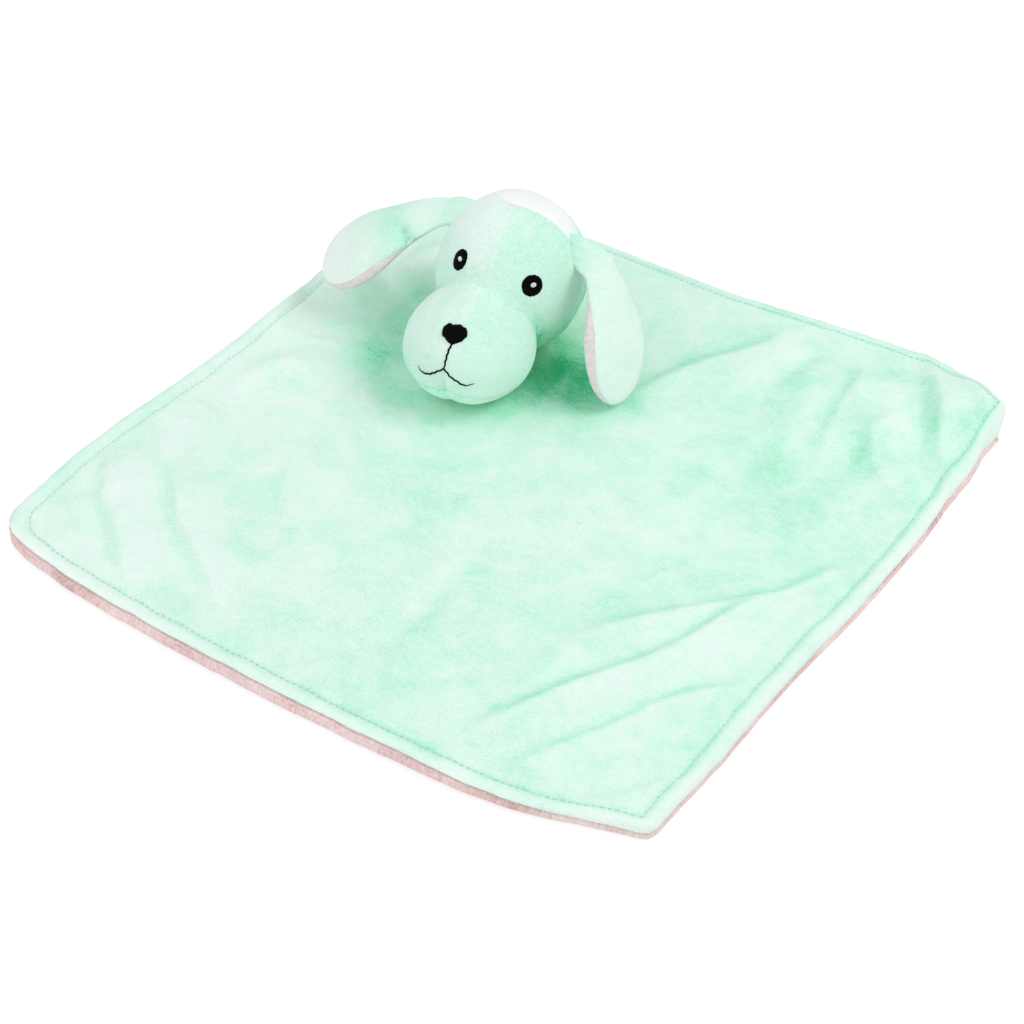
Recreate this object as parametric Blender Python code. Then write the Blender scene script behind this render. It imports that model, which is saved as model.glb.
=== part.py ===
"""Comfort blanket: a square two-layer plush blanket with a stuffed puppy head sewn on near one corner.

Metres, +Z up, X and Y along the blanket's sides. The origin is the centre of the blanket's footprint,
on the surface that it lies on. The puppy faces -Y, turned a little towards +X; its left is +X.
"""
import math

import bmesh
import bpy
from mathutils import Matrix, Vector

# Clearances between pieces that touch
CLEARANCE = 0.0003
SEAM_THREAD = 0.0006

# Blanket: two plush panels sewn together round the edge
BLANKET_SIDE = 0.340
TOP_PANEL = 0.0027
BASE_PANEL = 0.0030
EDGE_BOW = 0.010
RIM_INSET = 0.0022
RIM_DROP = 0.0010
RIM_FLARE = 0.0011
STITCH_INSET = 0.0078
STITCH_GROOVE = 0.0012
TOPSTITCH_THREAD = 0.0008
BORDER_INSET = 0.0130
FRONT_LEFT_RADIUS = 0.023
FRONT_RIGHT_RADIUS = 0.007
BACK_RIGHT_RADIUS = 0.007
BACK_LEFT_RADIUS = 0.034
BLANKET_ROWS = 25

# How far each side of the blanket bows out, at even steps along it, as shares of EDGE_BOW
FRONT_BOW_SHARES = (-0.5, 0.42, 0.83, 1.0, 0.97, 0.55, -1.1)
BACK_BOW_SHARES = (-1.6, -0.3, -0.1, -0.1, 0.4, 0.7, -0.3)
LEFT_BOW_SHARES = (0.6, 0.75, 0.3, -0.2, -0.25, -0.7, -1.7)
RIGHT_BOW_SHARES = (-0.3, -0.1, -0.05, 0.3, 0.5, 0.4, -0.4)

# Main folds: height and reach as shares of FOLD_HEIGHT and FOLD_REACH, then points of the crest as shares
# of half a side
FOLD_HEIGHT = 0.009
FOLD_REACH = 0.020
FOLD_END = 0.035
FOLD_SHARES = (
    (1.0, 1.1, ((0.97, -0.03), (0.85, -0.25), (0.74, -0.47), (0.62, -0.68), (0.52, -0.88))),
    (0.5, 0.9, ((0.95, -0.42), (0.86, -0.62), (0.70, -0.86))),
    (0.4, 1.0, ((0.84, -0.02), (0.64, -0.28), (0.48, -0.58), (0.40, -0.90))),
    (0.9, 0.9, ((0.78, 0.97), (0.87, 0.83), (0.96, 0.70))),
    (0.7, 1.0, ((0.62, 0.93), (0.72, 0.70), (0.95, 0.48))),
    (0.5, 1.0, ((0.44, 0.96), (0.50, 0.72), (0.56, 0.45))),
    (0.4, 1.0, ((0.32, 0.96), (0.32, 0.72), (0.22, 0.48))),
    (0.5, 1.0, ((-0.97, -0.50), (-0.74, -0.70), (-0.52, -0.92))),
    (0.4, 0.9, ((-0.96, -0.74), (-0.80, -0.92))),
    (1.0, 0.9, ((-0.97, 0.36), (-0.84, 0.43), (-0.73, 0.55), (-0.68, 0.78))),
    (0.3, 0.9, ((-0.93, -0.12), (-0.72, 0.06), (-0.58, 0.12))),
)
PUFF = 0.0010

# Head: a round skull and a muzzle, each a firm ball of stuffing in a plush skin
HEAD_PLACE_SHARES = (-0.347, 0.482)
HEAD_HEADING = math.radians(10)
SKULL_WIDTH = 0.072
SKULL_DEPTH = 0.077
SKULL_HEIGHT = 0.079
SKIN = 0.0016
NECK_RADIUS = 0.0125
NECK_PANEL = 0.0014
MUZZLE_WIDTH = 0.062
MUZZLE_DEPTH = 0.064
MUZZLE_HEIGHT = 0.0526
MUZZLE_REACH = 0.0443
MUZZLE_ASIDE = -0.0022
MUZZLE_SLOPE = 0.002
MUZZLE_TAPER_SHARE = 0.10
CHIN_SEAM_HEIGHT = 0.0200
CHIN_SEAM_END = math.radians(120)
CROWN_LEAN_SHARE = 0.12
CROWN_SEAM_END = math.radians(125)
FOREHEAD_SEAM_END = math.radians(78)

# Embroidery; on the muzzle, heights are shares of half its height
EYE_WIDTH = 0.0105
EYE_PAD = 0.0008
HIGHLIGHT_WIDTH = 0.0024
HIGHLIGHT_PAD = 0.0005
EYE_LEFT_ASIDE = 0.0207
EYE_LEFT_RISE = 0.0167
EYE_RIGHT_ASIDE = -0.0145
EYE_RIGHT_RISE = 0.0215
NOSE_WIDTH = 0.0120
NOSE_HEIGHT = 0.0095
NOSE_PAD = 0.0012
NOSE_RISE_SHARE = 0.763
NOSE_CORNER_SHARE = 0.12
MOUTH_THREAD = 0.0010
MOUTH_WIDTH = 0.0280
MOUTH_DROP_SHARE = 0.240
MOUTH_RISE_SHARE = 0.289
MOUTH_CURL = math.radians(130)

# Ears: flat padded lobes, plush outside and pale inside, hung from the sides of the head
EAR_LENGTH = 0.080
EAR_WIDTH = 0.037
EAR_THICKNESS = 0.010
EAR_SKIN = 0.0012
EAR_ROOT_WIDTH = 0.014
EAR_ROOT_THREAD = 0.0012
EAR_LEFT_HEIGHT = 0.0200
EAR_RIGHT_HEIGHT = 0.0250
EAR_SET_BACK = 0.0040
EAR_BEND = 0.027

# Half width and half thickness of an ear at even steps from root to tip, as shares of an oval's
EAR_WIDTH_SHARES = (0.64, 0.59, 0.73, 1.16, 1.52)
EAR_THICKNESS_SHARES = (0.9, 0.8, 0.95, 1.1, 1.15)

# How each ear lies, in degrees: the rise and forward swing where it leaves the head, the forward swing of
# its tip, and the rise and forward swing that its plush side faces; then how high its tip is over the
# blanket, and the distance from root to tip as a share of its length
EAR_LEFT_LIE = ((-1, 18), 49, (28, 16))
EAR_LEFT_TIP_HEIGHT = 0.0019
EAR_LEFT_REACH_SHARE = 0.935
EAR_RIGHT_LIE = ((-16, 3), 20, (69, 77))
EAR_RIGHT_TIP_HEIGHT = 0.0200
EAR_RIGHT_REACH_SHARE = 0.978

HALF = BLANKET_SIDE / 2
BLANKET_TOP = BASE_PANEL + CLEARANCE + TOP_PANEL

# The skull's and the muzzle's half sizes and centres, in the head's frame: X to the puppy's left, -Y forward,
# its origin at the neck on the blanket's top
SKULL = Vector((SKULL_WIDTH, SKULL_DEPTH, SKULL_HEIGHT)) / 2
NECK_CUT = NECK_RADIUS + SEAM_THREAD + 3 * CLEARANCE
SKULL_RISE = SKULL.z * math.sqrt(1 - (NECK_CUT / SKULL.y) ** 2)
SKULL_CENTRE = Vector((0, 0, CLEARANCE + SKULL_RISE))
MUZZLE = Vector((MUZZLE_WIDTH, MUZZLE_DEPTH, MUZZLE_HEIGHT)) / 2
MUZZLE_CENTRE = Vector((MUZZLE_ASIDE, -MUZZLE_REACH, CLEARANCE + math.hypot(MUZZLE.z, MUZZLE_SLOPE)))
CHIN_SHARE = (CHIN_SEAM_HEIGHT - MUZZLE_CENTRE.z) / MUZZLE.z

# Faces of the round pieces: across and up
SKULL_FACES = (24, 14)
MUZZLE_FACES = (20, 12)
EAR_FACES = (14, 10)
ROUND_STEPS = 24
PATCH_STEPS = 5

# How near two points of a unit shape may be before a cut joins them, as a share of its radius
JOIN_SHARE = 1e-6


def clear_scene():
    for obj in list(bpy.data.objects):
        bpy.data.objects.remove(obj)


def material(name, colour, roughness=0.9):
    mat = bpy.data.materials.new(name)
    mat.use_nodes = True
    shader = mat.node_tree.nodes["Principled BSDF"]
    shader.inputs["Base Color"].default_value = (*colour, 1)
    shader.inputs["Roughness"].default_value = roughness
    shader.inputs["Metallic"].default_value = 0
    return mat


def hang(obj, parent):
    """Links an object under an empty. A joint's empty keeps its place in the head's frame, in which all of
    the head's pieces are drawn, so that they stay put when they hang on it."""
    bpy.context.collection.objects.link(obj)
    obj.parent = parent
    if parent and "joint_place" in parent:
        obj.matrix_parent_inverse = Matrix.Translation(-Vector(parent["joint_place"]))
    return obj


def empty(name, place, parent=None, heading=0):
    obj = hang(bpy.data.objects.new(name, None), parent)
    obj.location = place
    obj.rotation_euler = (0, 0, heading)
    return obj


def joint(name, place, parent):
    """An empty on a joint's axis, placed in the head's frame."""
    obj = empty(name, place, parent)
    obj["joint_place"] = tuple(place)
    return obj


def piece(name, mesh, mat, parent):
    """A named object whose mesh is given in the frame of the blanket or of the head."""
    obj = hang(bpy.data.objects.new(name, mesh), parent)
    mesh.materials.append(mat)
    mesh.shade_smooth()
    mesh.set_sharp_from_angle(angle=math.radians(50))
    return obj


def mesh_from(bm, name):
    bmesh.ops.recalc_face_normals(bm, faces=bm.faces[:])
    if bm.calc_volume(signed=True) < 0:
        bmesh.ops.reverse_faces(bm, faces=bm.faces[:])
    mesh = bpy.data.meshes.new(name)
    bm.to_mesh(mesh)
    bm.free()
    return mesh


def double(bm):
    """Doubles an open patch into the two faces of a closed sheet; returns the new inner vertices."""
    made = bmesh.ops.extrude_face_region(bm, geom=bm.faces[:], use_keep_orig=True)["geom"]
    return {v for v in made if isinstance(v, bmesh.types.BMVert)}


def smooth(values, t):
    """A smooth curve through evenly spaced values, read at t from 0 to 1."""
    spans = len(values) - 1
    at = min(max(t, 0), 1) * spans
    i = min(int(at), spans - 1)
    f = at - i
    a, b, c, d = (values[min(max(k, 0), spans)] for k in (i - 1, i, i + 1, i + 2))
    return b + 0.5 * f * (c - a + f * (2 * a - 5 * b + 4 * c - d + f * (3 * (b - c) + d - a)))


# Blanket

def row_places():
    """Rows of the blanket's grid: close together at the rim, the stitch line and the border, even between."""
    edge = [HALF, HALF - RIM_INSET, HALF - STITCH_INSET, HALF - BORDER_INSET]
    gaps = BLANKET_ROWS - 2 * len(edge) + 1
    step = 2 * edge[-1] / gaps
    inner = [-edge[-1] + step * i for i in range(1, gaps)]
    return [-e for e in edge] + inner + edge[::-1]


def corner_radius(x, y):
    if y < 0:
        return FRONT_LEFT_RADIUS if x < 0 else FRONT_RIGHT_RADIUS
    return BACK_LEFT_RADIUS if x < 0 else BACK_RIGHT_RADIUS


def plan(x, y):
    """Where a point of the plain square lies in the blanket's real outline: corners rounded, sides bowed."""
    radius = corner_radius(x, y)
    p = (abs(x) - HALF + radius) / radius
    q = (abs(y) - HALF + radius) / radius
    if p > 0 and q > 0:
        flat = HALF - radius
        x = math.copysign(flat + radius * p * math.sqrt(1 - q * q / 2), x)
        y = math.copysign(flat + radius * q * math.sqrt(1 - p * p / 2), y)
    across = (x / HALF + 1) / 2
    along = (y / HALF + 1) / 2
    right = smooth(RIGHT_BOW_SHARES, along) * across
    left = smooth(LEFT_BOW_SHARES, along) * (1 - across)
    back = smooth(BACK_BOW_SHARES, across) * along
    front = smooth(FRONT_BOW_SHARES, across) * (1 - along)
    return Vector((x + EDGE_BOW * (right - left), y + EDGE_BOW * (back - front), 0))


def footprint_centre():
    """The middle of the outline's box, which is the origin."""
    rows = row_places()
    rim = [plan(x, y) for x in rows for y in rows if max(abs(x), abs(y)) == HALF]
    xs = [p.x for p in rim]
    ys = [p.y for p in rim]
    return Vector(((min(xs) + max(xs)) / 2, (min(ys) + max(ys)) / 2, 0))


def fold_lift(x, y):
    """How high the folds lift the cloth at a point of the plan."""
    lift = 0
    for height_share, reach_share, crest_shares in FOLD_SHARES:
        crest = [Vector(c) * HALF for c in crest_shares]
        runs = [(b - a).length for a, b in zip(crest, crest[1:])]
        reach = FOLD_REACH * reach_share
        best, where, before = reach, 0, 0
        for a, b, run in zip(crest, crest[1:], runs):
            share = min(max((Vector((x, y)) - a).dot(b - a) / run ** 2, 0), 1)
            off = (a.lerp(b, share) - Vector((x, y))).length
            if off < best:
                best, where = off, before + share * run
            before += run
        if best < reach:
            fade = min(1, where / FOLD_END, (before - where) / FOLD_END)
            bump = (1 + math.cos(math.pi * best / reach)) / 2
            lift += FOLD_HEIGHT * height_share * bump * math.sin(fade * math.pi / 2)
    return lift


def section(inset):
    """Heights of the cloth's four faces over the flat middle, at a distance inside the edge: a rolled rim,
    a groove for the stitches and a flat middle."""
    rim = max(0, 1 - inset / RIM_INSET)
    groove = max(0, 1 - abs(inset - STITCH_INSET) / (STITCH_INSET - RIM_INSET))
    top = BLANKET_TOP - 2 * RIM_DROP * rim - STITCH_GROOVE * groove
    under_top = BASE_PANEL + CLEARANCE + RIM_FLARE * rim
    over_base = BASE_PANEL - RIM_FLARE * rim
    return top, under_top, over_base, RIM_DROP * rim


def blanket_panel(name, heights):
    """A panel of the blanket; heights gives its upper and lower face at a place in the plain square."""
    places = row_places()
    last = BLANKET_ROWS - 1
    bm = bmesh.new()
    bmesh.ops.create_grid(bm, x_segments=last, y_segments=last, size=1)
    bmesh.ops.triangulate(bm, faces=bm.faces[:], quad_method="FIXED")
    lower = double(bm)
    centre = footprint_centre()
    for v in bm.verts:
        x = places[round((v.co.x + 1) / 2 * last)]
        y = places[round((v.co.y + 1) / 2 * last)]
        at = plan(x, y) - centre
        upper_z, lower_z = heights(x, y, at)
        v.co = Vector((at.x, at.y, lower_z if v in lower else upper_z))
    return mesh_from(bm, name)


def top_heights(x, y, at):
    top, under, _, _ = section(HALF - max(abs(x), abs(y)))
    lift = fold_lift(at.x, at.y)
    return top + lift, under + lift


def base_heights(x, y, at):
    _, _, over, bottom = section(HALF - max(abs(x), abs(y)))
    lift = max(0, fold_lift(at.x, at.y) - PUFF)
    return over + lift, bottom + lift


def thread(name, points, thickness, parent, mat, closed=False, sides=4):
    """A round thread along points, as a curve with a bevel."""
    curve = bpy.data.curves.new(name, "CURVE")
    curve.dimensions = "3D"
    curve.bevel_depth = thickness / 2
    curve.bevel_resolution = max(0, sides // 2 - 2)
    curve.use_fill_caps = not closed
    spline = curve.splines.new("POLY")
    spline.points.add(len(points) - 1)
    for spot, p in zip(spline.points, points):
        spot.co = (*p, 1)
    spline.use_cyclic_u = closed
    curve.materials.append(mat)
    return hang(bpy.data.objects.new(name, curve), parent)


def edge_ring(inset, height):
    """Points round the blanket at a distance inside its edge; height gives the z at a place and its lift."""
    places = [-(HALF - inset)] + [p for p in row_places() if abs(p) < HALF - inset] + [HALF - inset]
    low, high = places[0], places[-1]
    ring = [(x, low) for x in places[:-1]] + [(high, y) for y in places[:-1]]
    ring += [(x, high) for x in places[:0:-1]] + [(low, y) for y in places[:0:-1]]
    centre = footprint_centre()
    points = []
    for x, y in ring:
        at = plan(x, y) - centre
        points.append(Vector((at.x, at.y, height(at))))
    return points


def build_blanket(frame, mint, rose, thread_mat):
    piece("blanket_top_panel", blanket_panel("blanket_top_panel", top_heights), mint, frame)
    piece("blanket_base_panel", blanket_panel("blanket_base_panel", base_heights), rose, frame)

    def on_groove(at):
        return section(STITCH_INSET)[0] + fold_lift(at.x, at.y) + CLEARANCE + TOPSTITCH_THREAD / 2

    def between_rims(at):
        lift = fold_lift(at.x, at.y)
        return BASE_PANEL + CLEARANCE / 2 + (lift + max(0, lift - PUFF)) / 2

    thread("edge_topstitch", edge_ring(STITCH_INSET, on_groove), TOPSTITCH_THREAD, frame, thread_mat, True)
    seam_inset = SEAM_THREAD / 2 + CLEARANCE
    thread("edge_seam_thread", edge_ring(seam_inset, between_rims), SEAM_THREAD, frame, thread_mat, True)


# Head

def skull_point(way, inset):
    """A point of the skull for a point of the unit ball, set in by inset."""
    return SKULL_CENTRE + Vector([w * (s - inset) for w, s in zip(way, SKULL)])


def muzzle_point(way, inset):
    """A point of the muzzle for a point of the unit ball: it tapers upwards and slopes down forwards."""
    x, y, z = way
    wide = 1 - MUZZLE_TAPER_SHARE * z
    return MUZZLE_CENTRE + Vector((
        x * (MUZZLE.x - inset) * wide,
        y * (MUZZLE.y - inset),
        z * (MUZZLE.z - inset) + y * MUZZLE_SLOPE,
    ))


def unit_ball(faces):
    bm = bmesh.new()
    bmesh.ops.create_uvsphere(bm, u_segments=faces[0], v_segments=faces[1], radius=1)
    return bm


def keep_side(bm, normal, least):
    """Cuts away what lies nearer than least along normal."""
    normal = Vector(normal).normalized()
    bmesh.ops.bisect_plane(
        bm, geom=bm.verts[:] + bm.edges[:] + bm.faces[:], dist=JOIN_SHARE,
        plane_co=normal * least, plane_no=normal, clear_inner=True,
    )


def skin_panel(name, shape, faces, cuts, mat, parent):
    """A plush panel: the part of a shape's surface that the cuts leave, given its thickness inwards."""
    bm = unit_ball(faces)
    for normal, least in cuts:
        keep_side(bm, normal, least)
    inner = double(bm)
    for v in bm.verts:
        v.co = shape(v.co, SKIN if v in inner else 0)
    return piece(name, mesh_from(bm, name), mat, parent)


def back_panel(seam_y, mat, parent):
    """The back of the head, behind the crown seam on both sides."""
    bm = unit_ball(SKULL_FACES)
    # A shear brings both halves of the leaning seam into one plane, so that one cut makes both
    for v in bm.verts:
        v.co.y -= CROWN_LEAN_SHARE * abs(v.co.x)
    keep_side(bm, (0, 1, 0), seam_y)
    for v in bm.verts:
        v.co.y += CROWN_LEAN_SHARE * abs(v.co.x)
    inner = double(bm)
    for v in bm.verts:
        v.co = skull_point(v.co, SKIN if v in inner else 0)
    return piece("head_back_panel", mesh_from(bm, "head_back_panel"), mat, parent)


def stuffing(name, shape, faces, mat, parent):
    bm = unit_ball(faces)
    for v in bm.verts:
        v.co = shape(v.co, SKIN + CLEARANCE)
    return piece(name, mesh_from(bm, name), mat, parent)


def cutter(name, mesh, parent):
    obj = hang(bpy.data.objects.new(name, mesh), parent)
    obj.hide_render = True
    obj.display_type = "WIRE"
    return obj


def neck_cutters(parent):
    """The room under the head: one cutter for the neck panel and its thread, one for the blanket."""
    above = NECK_PANEL + 2 * CLEARANCE
    below = SKULL_HEIGHT / 4
    neck = bmesh.new()
    bmesh.ops.create_cone(
        neck, cap_ends=True, segments=ROUND_STEPS, radius1=NECK_CUT, radius2=NECK_CUT, depth=above + below,
        matrix=Matrix.Translation((0, 0, (above - below) / 2)),
    )
    blanket = bmesh.new()
    box = Matrix.Diagonal((2 * SKULL_WIDTH, 2 * SKULL_DEPTH, below, 1))
    bmesh.ops.create_cube(blanket, size=1, matrix=Matrix.Translation((0, 0, CLEARANCE - below / 2)) @ box)
    return cutter("neck_room", mesh_from(neck, "neck_room"), parent), cutter(
        "blanket_room", mesh_from(blanket, "blanket_room"), parent)


def skull_cutter(parent):
    bm = unit_ball(SKULL_FACES)
    for v in bm.verts:
        v.co = skull_point(v.co, -CLEARANCE)
    return cutter("skull_room", mesh_from(bm, "skull_room"), parent)


def cut(obj, *tools):
    for tool in tools:
        mod = obj.modifiers.new("cut_" + tool.name, "BOOLEAN")
        mod.operation = "DIFFERENCE"
        mod.object = tool


def patch(name, outline, shape, middle, radii, lift, thickness, mat, parent):
    """An embroidered patch on a shape: a disc bent to its surface round middle. The way out to its middle
    and its two radii are in unit terms, and outline gives the share of them that is filled at each angle."""
    wide, high = radii
    bm = bmesh.new()
    bmesh.ops.create_grid(bm, x_segments=PATCH_STEPS, y_segments=PATCH_STEPS, size=1)
    lower = double(bm)
    out = Vector(middle).normalized()
    side = Vector((0, 0, 1)).cross(out).normalized()
    rise = out.cross(side)
    for v in bm.verts:
        a, b = v.co.x, v.co.y
        u, w = a * math.sqrt(1 - b * b / 2), b * math.sqrt(1 - a * a / 2)
        fill = outline(math.atan2(w, u))
        way = (out + side * (u * fill * wide) + rise * (w * fill * high)).normalized()
        v.co = shape(way, -lift if v in lower else -lift - thickness)
    return piece(name, mesh_from(bm, name), mat, parent)


def round_outline(angle):
    return 1


def nose_outline(angle):
    """A rounded triangle, wide at the top and narrow below."""
    return 1 - NOSE_CORNER_SHARE * (1 - math.cos(3 * (angle - math.pi / 6)))


def out_to(aside, rise, size):
    """The way out, in unit terms, to the front of a shape at a distance aside and up from its centre."""
    x, z = aside / size.x, rise / size.z
    return Vector((x, -math.sqrt(1 - x * x - z * z), z))


def off_skull(point, room):
    """Whether a point lies outside the skull by more than room."""
    return sum(((p - c) / (r + room)) ** 2 for p, c, r in zip(point, SKULL_CENTRE, SKULL)) > 1


def sunk_thread(name, ways, shape, mat, parent):
    """A seam's thread, just under a shape's surface in the gap between two panels."""
    sunk = SEAM_THREAD / 2 + CLEARANCE
    return thread(name, [shape(w.normalized(), sunk) for w in ways], SEAM_THREAD, parent, mat)


def raised_thread(name, ways, shape, mat, parent):
    """An embroidered line on a shape's surface."""
    raised = MOUTH_THREAD / 2 + CLEARANCE
    points = [shape(w.normalized(), -raised) for w in ways]
    return thread(name, points, MOUTH_THREAD, parent, mat, sides=6)


def arc(start, end, steps):
    return [start + (end - start) * i / steps for i in range(steps + 1)]


def build_neck(frame, mint, thread_mat):
    bm = bmesh.new()
    bmesh.ops.create_cone(
        bm, cap_ends=True, segments=ROUND_STEPS, radius1=NECK_RADIUS, radius2=NECK_RADIUS, depth=NECK_PANEL,
        matrix=Matrix.Translation((0, 0, CLEARANCE + NECK_PANEL / 2)),
    )
    piece("neck_base_panel", mesh_from(bm, "neck_base_panel"), mint, frame)
    radius = NECK_RADIUS + CLEARANCE + SEAM_THREAD / 2
    ring = [2 * math.pi * (i + 0.5) / ROUND_STEPS for i in range(ROUND_STEPS)]
    points = [Vector((radius * math.cos(a), radius * math.sin(a), CLEARANCE + SEAM_THREAD / 2)) for a in ring]
    thread("neck_seam_thread", points, SEAM_THREAD, frame, thread_mat, True)


def build_head(head, mint, fibre):
    neck_room, blanket_room = neck_cutters(head)
    skull_room = skull_cutter(head)
    seam = SEAM_THREAD / 2 + CLEARANCE
    beside = seam / SKULL.x
    before = seam / SKULL.y

    # Face panels in front of the crown seam, which runs from ear to ear and leans back as it falls
    skull = [stuffing("head_stuffing", skull_point, SKULL_FACES, fibre, head)]
    skull.append(back_panel(before, mint, head))
    for name, side in (("face_panel_left", 1), ("face_panel_right", -1)):
        cuts = [((side, 0, 0), beside), ((side * CROWN_LEAN_SHARE, -1, 0), before)]
        skull.append(skin_panel(name, skull_point, SKULL_FACES, cuts, mint, head))
    for obj in skull:
        cut(obj, neck_room, blanket_room)

    # Muzzle panels left and right of its middle seam, and the chin panel below them
    beside = seam / MUZZLE.x
    above = seam / MUZZLE.z
    muzzle = [stuffing("muzzle_stuffing", muzzle_point, MUZZLE_FACES, fibre, head)]
    cuts = [((0, 0, -1), above - CHIN_SHARE)]
    muzzle.append(skin_panel("chin_panel", muzzle_point, MUZZLE_FACES, cuts, mint, head))
    for name, side in (("muzzle_panel_left", 1), ("muzzle_panel_right", -1)):
        cuts = [((side, 0, 0), beside), ((0, 0, 1), CHIN_SHARE + above)]
        muzzle.append(skin_panel(name, muzzle_point, MUZZLE_FACES, cuts, mint, head))
    for obj in muzzle:
        cut(obj, skull_room, blanket_room)


def build_seams(head, mat):
    apart = SEAM_THREAD + 2 * CLEARANCE
    crown = [
        Vector((math.sin(a), CROWN_LEAN_SHARE * abs(math.sin(a)), math.cos(a)))
        for a in arc(-CROWN_SEAM_END, CROWN_SEAM_END, 30)
    ]
    sunk_thread("crown_seam_thread", crown, skull_point, mat, head)
    forehead = [Vector((0, -math.sin(a), math.cos(a))) for a in arc(apart / SKULL.y, FOREHEAD_SEAM_END, 10)]
    sunk_thread("forehead_seam_thread", forehead, skull_point, mat, head)

    lowest = math.acos(CHIN_SHARE + apart / MUZZLE.z)
    middle = [Vector((0, -math.sin(a), math.cos(a))) for a in arc(0, lowest, 24)]
    middle = [w for w in middle if off_skull(muzzle_point(w, 0), SEAM_THREAD + CLEARANCE)]
    sunk_thread("muzzle_seam_thread", middle, muzzle_point, mat, head)
    out = math.sqrt(1 - CHIN_SHARE ** 2)
    chin = [
        Vector((out * math.sin(a), -out * math.cos(a), CHIN_SHARE))
        for a in arc(-CHIN_SEAM_END, CHIN_SEAM_END, 40)
    ]
    chin = [w for w in chin if off_skull(muzzle_point(w, 0), SEAM_THREAD + CLEARANCE)]
    sunk_thread("chin_seam_thread", chin, muzzle_point, mat, head)


def build_face(head, black, white):
    for side, aside, rise in (
        ("left", EYE_LEFT_ASIDE, EYE_LEFT_RISE),
        ("right", EYE_RIGHT_ASIDE, EYE_RIGHT_RISE),
    ):
        middle = out_to(aside, rise, SKULL)
        radii = [EYE_WIDTH / 2 / SKULL.x] * 2
        patch("eye_" + side, round_outline, skull_point, middle, radii, CLEARANCE, EYE_PAD, black, head)
        radii = [HIGHLIGHT_WIDTH / 2 / SKULL.x] * 2
        patch("eye_highlight_" + side, round_outline, skull_point, middle, radii,
              2 * CLEARANCE + EYE_PAD, HIGHLIGHT_PAD, white, head)
    nose = out_to(0, NOSE_RISE_SHARE * MUZZLE.z, MUZZLE)
    radii = (NOSE_WIDTH / 2 / MUZZLE.x, NOSE_HEIGHT / 2 / MUZZLE.z)
    patch("nose", nose_outline, muzzle_point, nose, radii, CLEARANCE, NOSE_PAD, black, head)

    mouth = []
    for t in arc(-1, 1, 16):
        rise_share = MOUTH_RISE_SHARE - MOUTH_DROP_SHARE * math.sin(MOUTH_CURL * abs(t))
        mouth.append(out_to(t * MOUTH_WIDTH / 2, rise_share * MUZZLE.z, MUZZLE))
    raised_thread("mouth_stitch", mouth, muzzle_point, black, head)
    apart = (MOUTH_THREAD + CLEARANCE) / MUZZLE.z
    low = MOUTH_RISE_SHARE + apart
    high = math.sin(math.asin(NOSE_RISE_SHARE) - NOSE_HEIGHT / 2 / MUZZLE.z) - apart
    lip = [Vector((0, -math.sqrt(1 - z * z), z)) for z in arc(low, high, 4)]
    raised_thread("philtrum_stitch", lip, muzzle_point, black, head)


# Ears

def towards(side, lie):
    """The direction of a rise and a forward swing, in degrees, out from a side of the head."""
    rise, swing = (math.radians(a) for a in lie)
    level = Vector((side * math.cos(swing), -math.sin(swing), 0))
    return level * math.cos(rise) + Vector((0, 0, math.sin(rise)))


def ear_hinge(side, height):
    """The hinge line's middle, in the root's thread, and the way out of the skull there."""
    y, z = EAR_SET_BACK / SKULL.y, height / SKULL.z
    way = Vector((side * math.sqrt(1 - y * y - z * z), y, z))
    normal = Vector([w / s for w, s in zip(way, SKULL)]).normalized()
    return skull_point(way, 0) + normal * (CLEARANCE + EAR_ROOT_THREAD / 2)


def ear_shape(side, root, lie, tip_height, reach_share):
    """A function that places a point of the unit ball on an ear: Z along it, X across it, Y out of its
    plush side, set in by inset and moved out of that side by shift."""
    leave, face = towards(side, lie[0]), towards(side, lie[2])
    start = root + leave * (EAR_ROOT_THREAD / 2 + CLEARANCE)
    bend = start + leave * EAR_BEND
    drop = start.z - tip_height
    out = math.sqrt((EAR_LENGTH * reach_share) ** 2 - drop ** 2)
    end = start + towards(side, (0, lie[1])) * out - Vector((0, 0, drop))

    def point(way, inset, shift=0):
        s = (way.z + 1) / 2
        t = inset / EAR_LENGTH + s * (1 - 2 * inset / EAR_LENGTH)
        along = (bend - start).lerp(end - bend, t).normalized()
        across = along.cross(face).normalized()
        out = across.cross(along)
        wide = EAR_WIDTH / 2 * smooth(EAR_WIDTH_SHARES, s) - inset
        thick = EAR_THICKNESS / 2 * smooth(EAR_THICKNESS_SHARES, s) - inset
        middle = start.lerp(bend, t).lerp(bend.lerp(end, t), t)
        return middle + across * way.x * wide + out * (way.y * thick + shift)

    return point


def build_ear(name, side, height, lie, tip_height, reach_share, head, mint, lining, fibre, thread_mat):
    hinge = ear_hinge(side, height)
    ear = joint(name + "_hinge", hinge, head)
    point = ear_shape(side, hinge, lie, tip_height, reach_share)
    half = Vector((0, EAR_ROOT_WIDTH / 2, 0))
    thread(name + "_root_seam", [hinge - half, hinge + half], EAR_ROOT_THREAD, ear, thread_mat, sides=8)

    for part, face, mat in (("_outer", 1, mint), ("_lining", -1, lining)):
        bm = unit_ball(EAR_FACES)
        keep_side(bm, (0, face, 0), 0)
        inner = double(bm)
        for v in bm.verts:
            v.co = point(v.co, EAR_SKIN if v in inner else 0, face * CLEARANCE / 2)
        piece(name + part, mesh_from(bm, name + part), mat, ear)
    bm = unit_ball(EAR_FACES)
    for v in bm.verts:
        v.co = point(v.co, EAR_SKIN + 2 * CLEARANCE)
    piece(name + "_padding", mesh_from(bm, name + "_padding"), fibre, ear)


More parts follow.
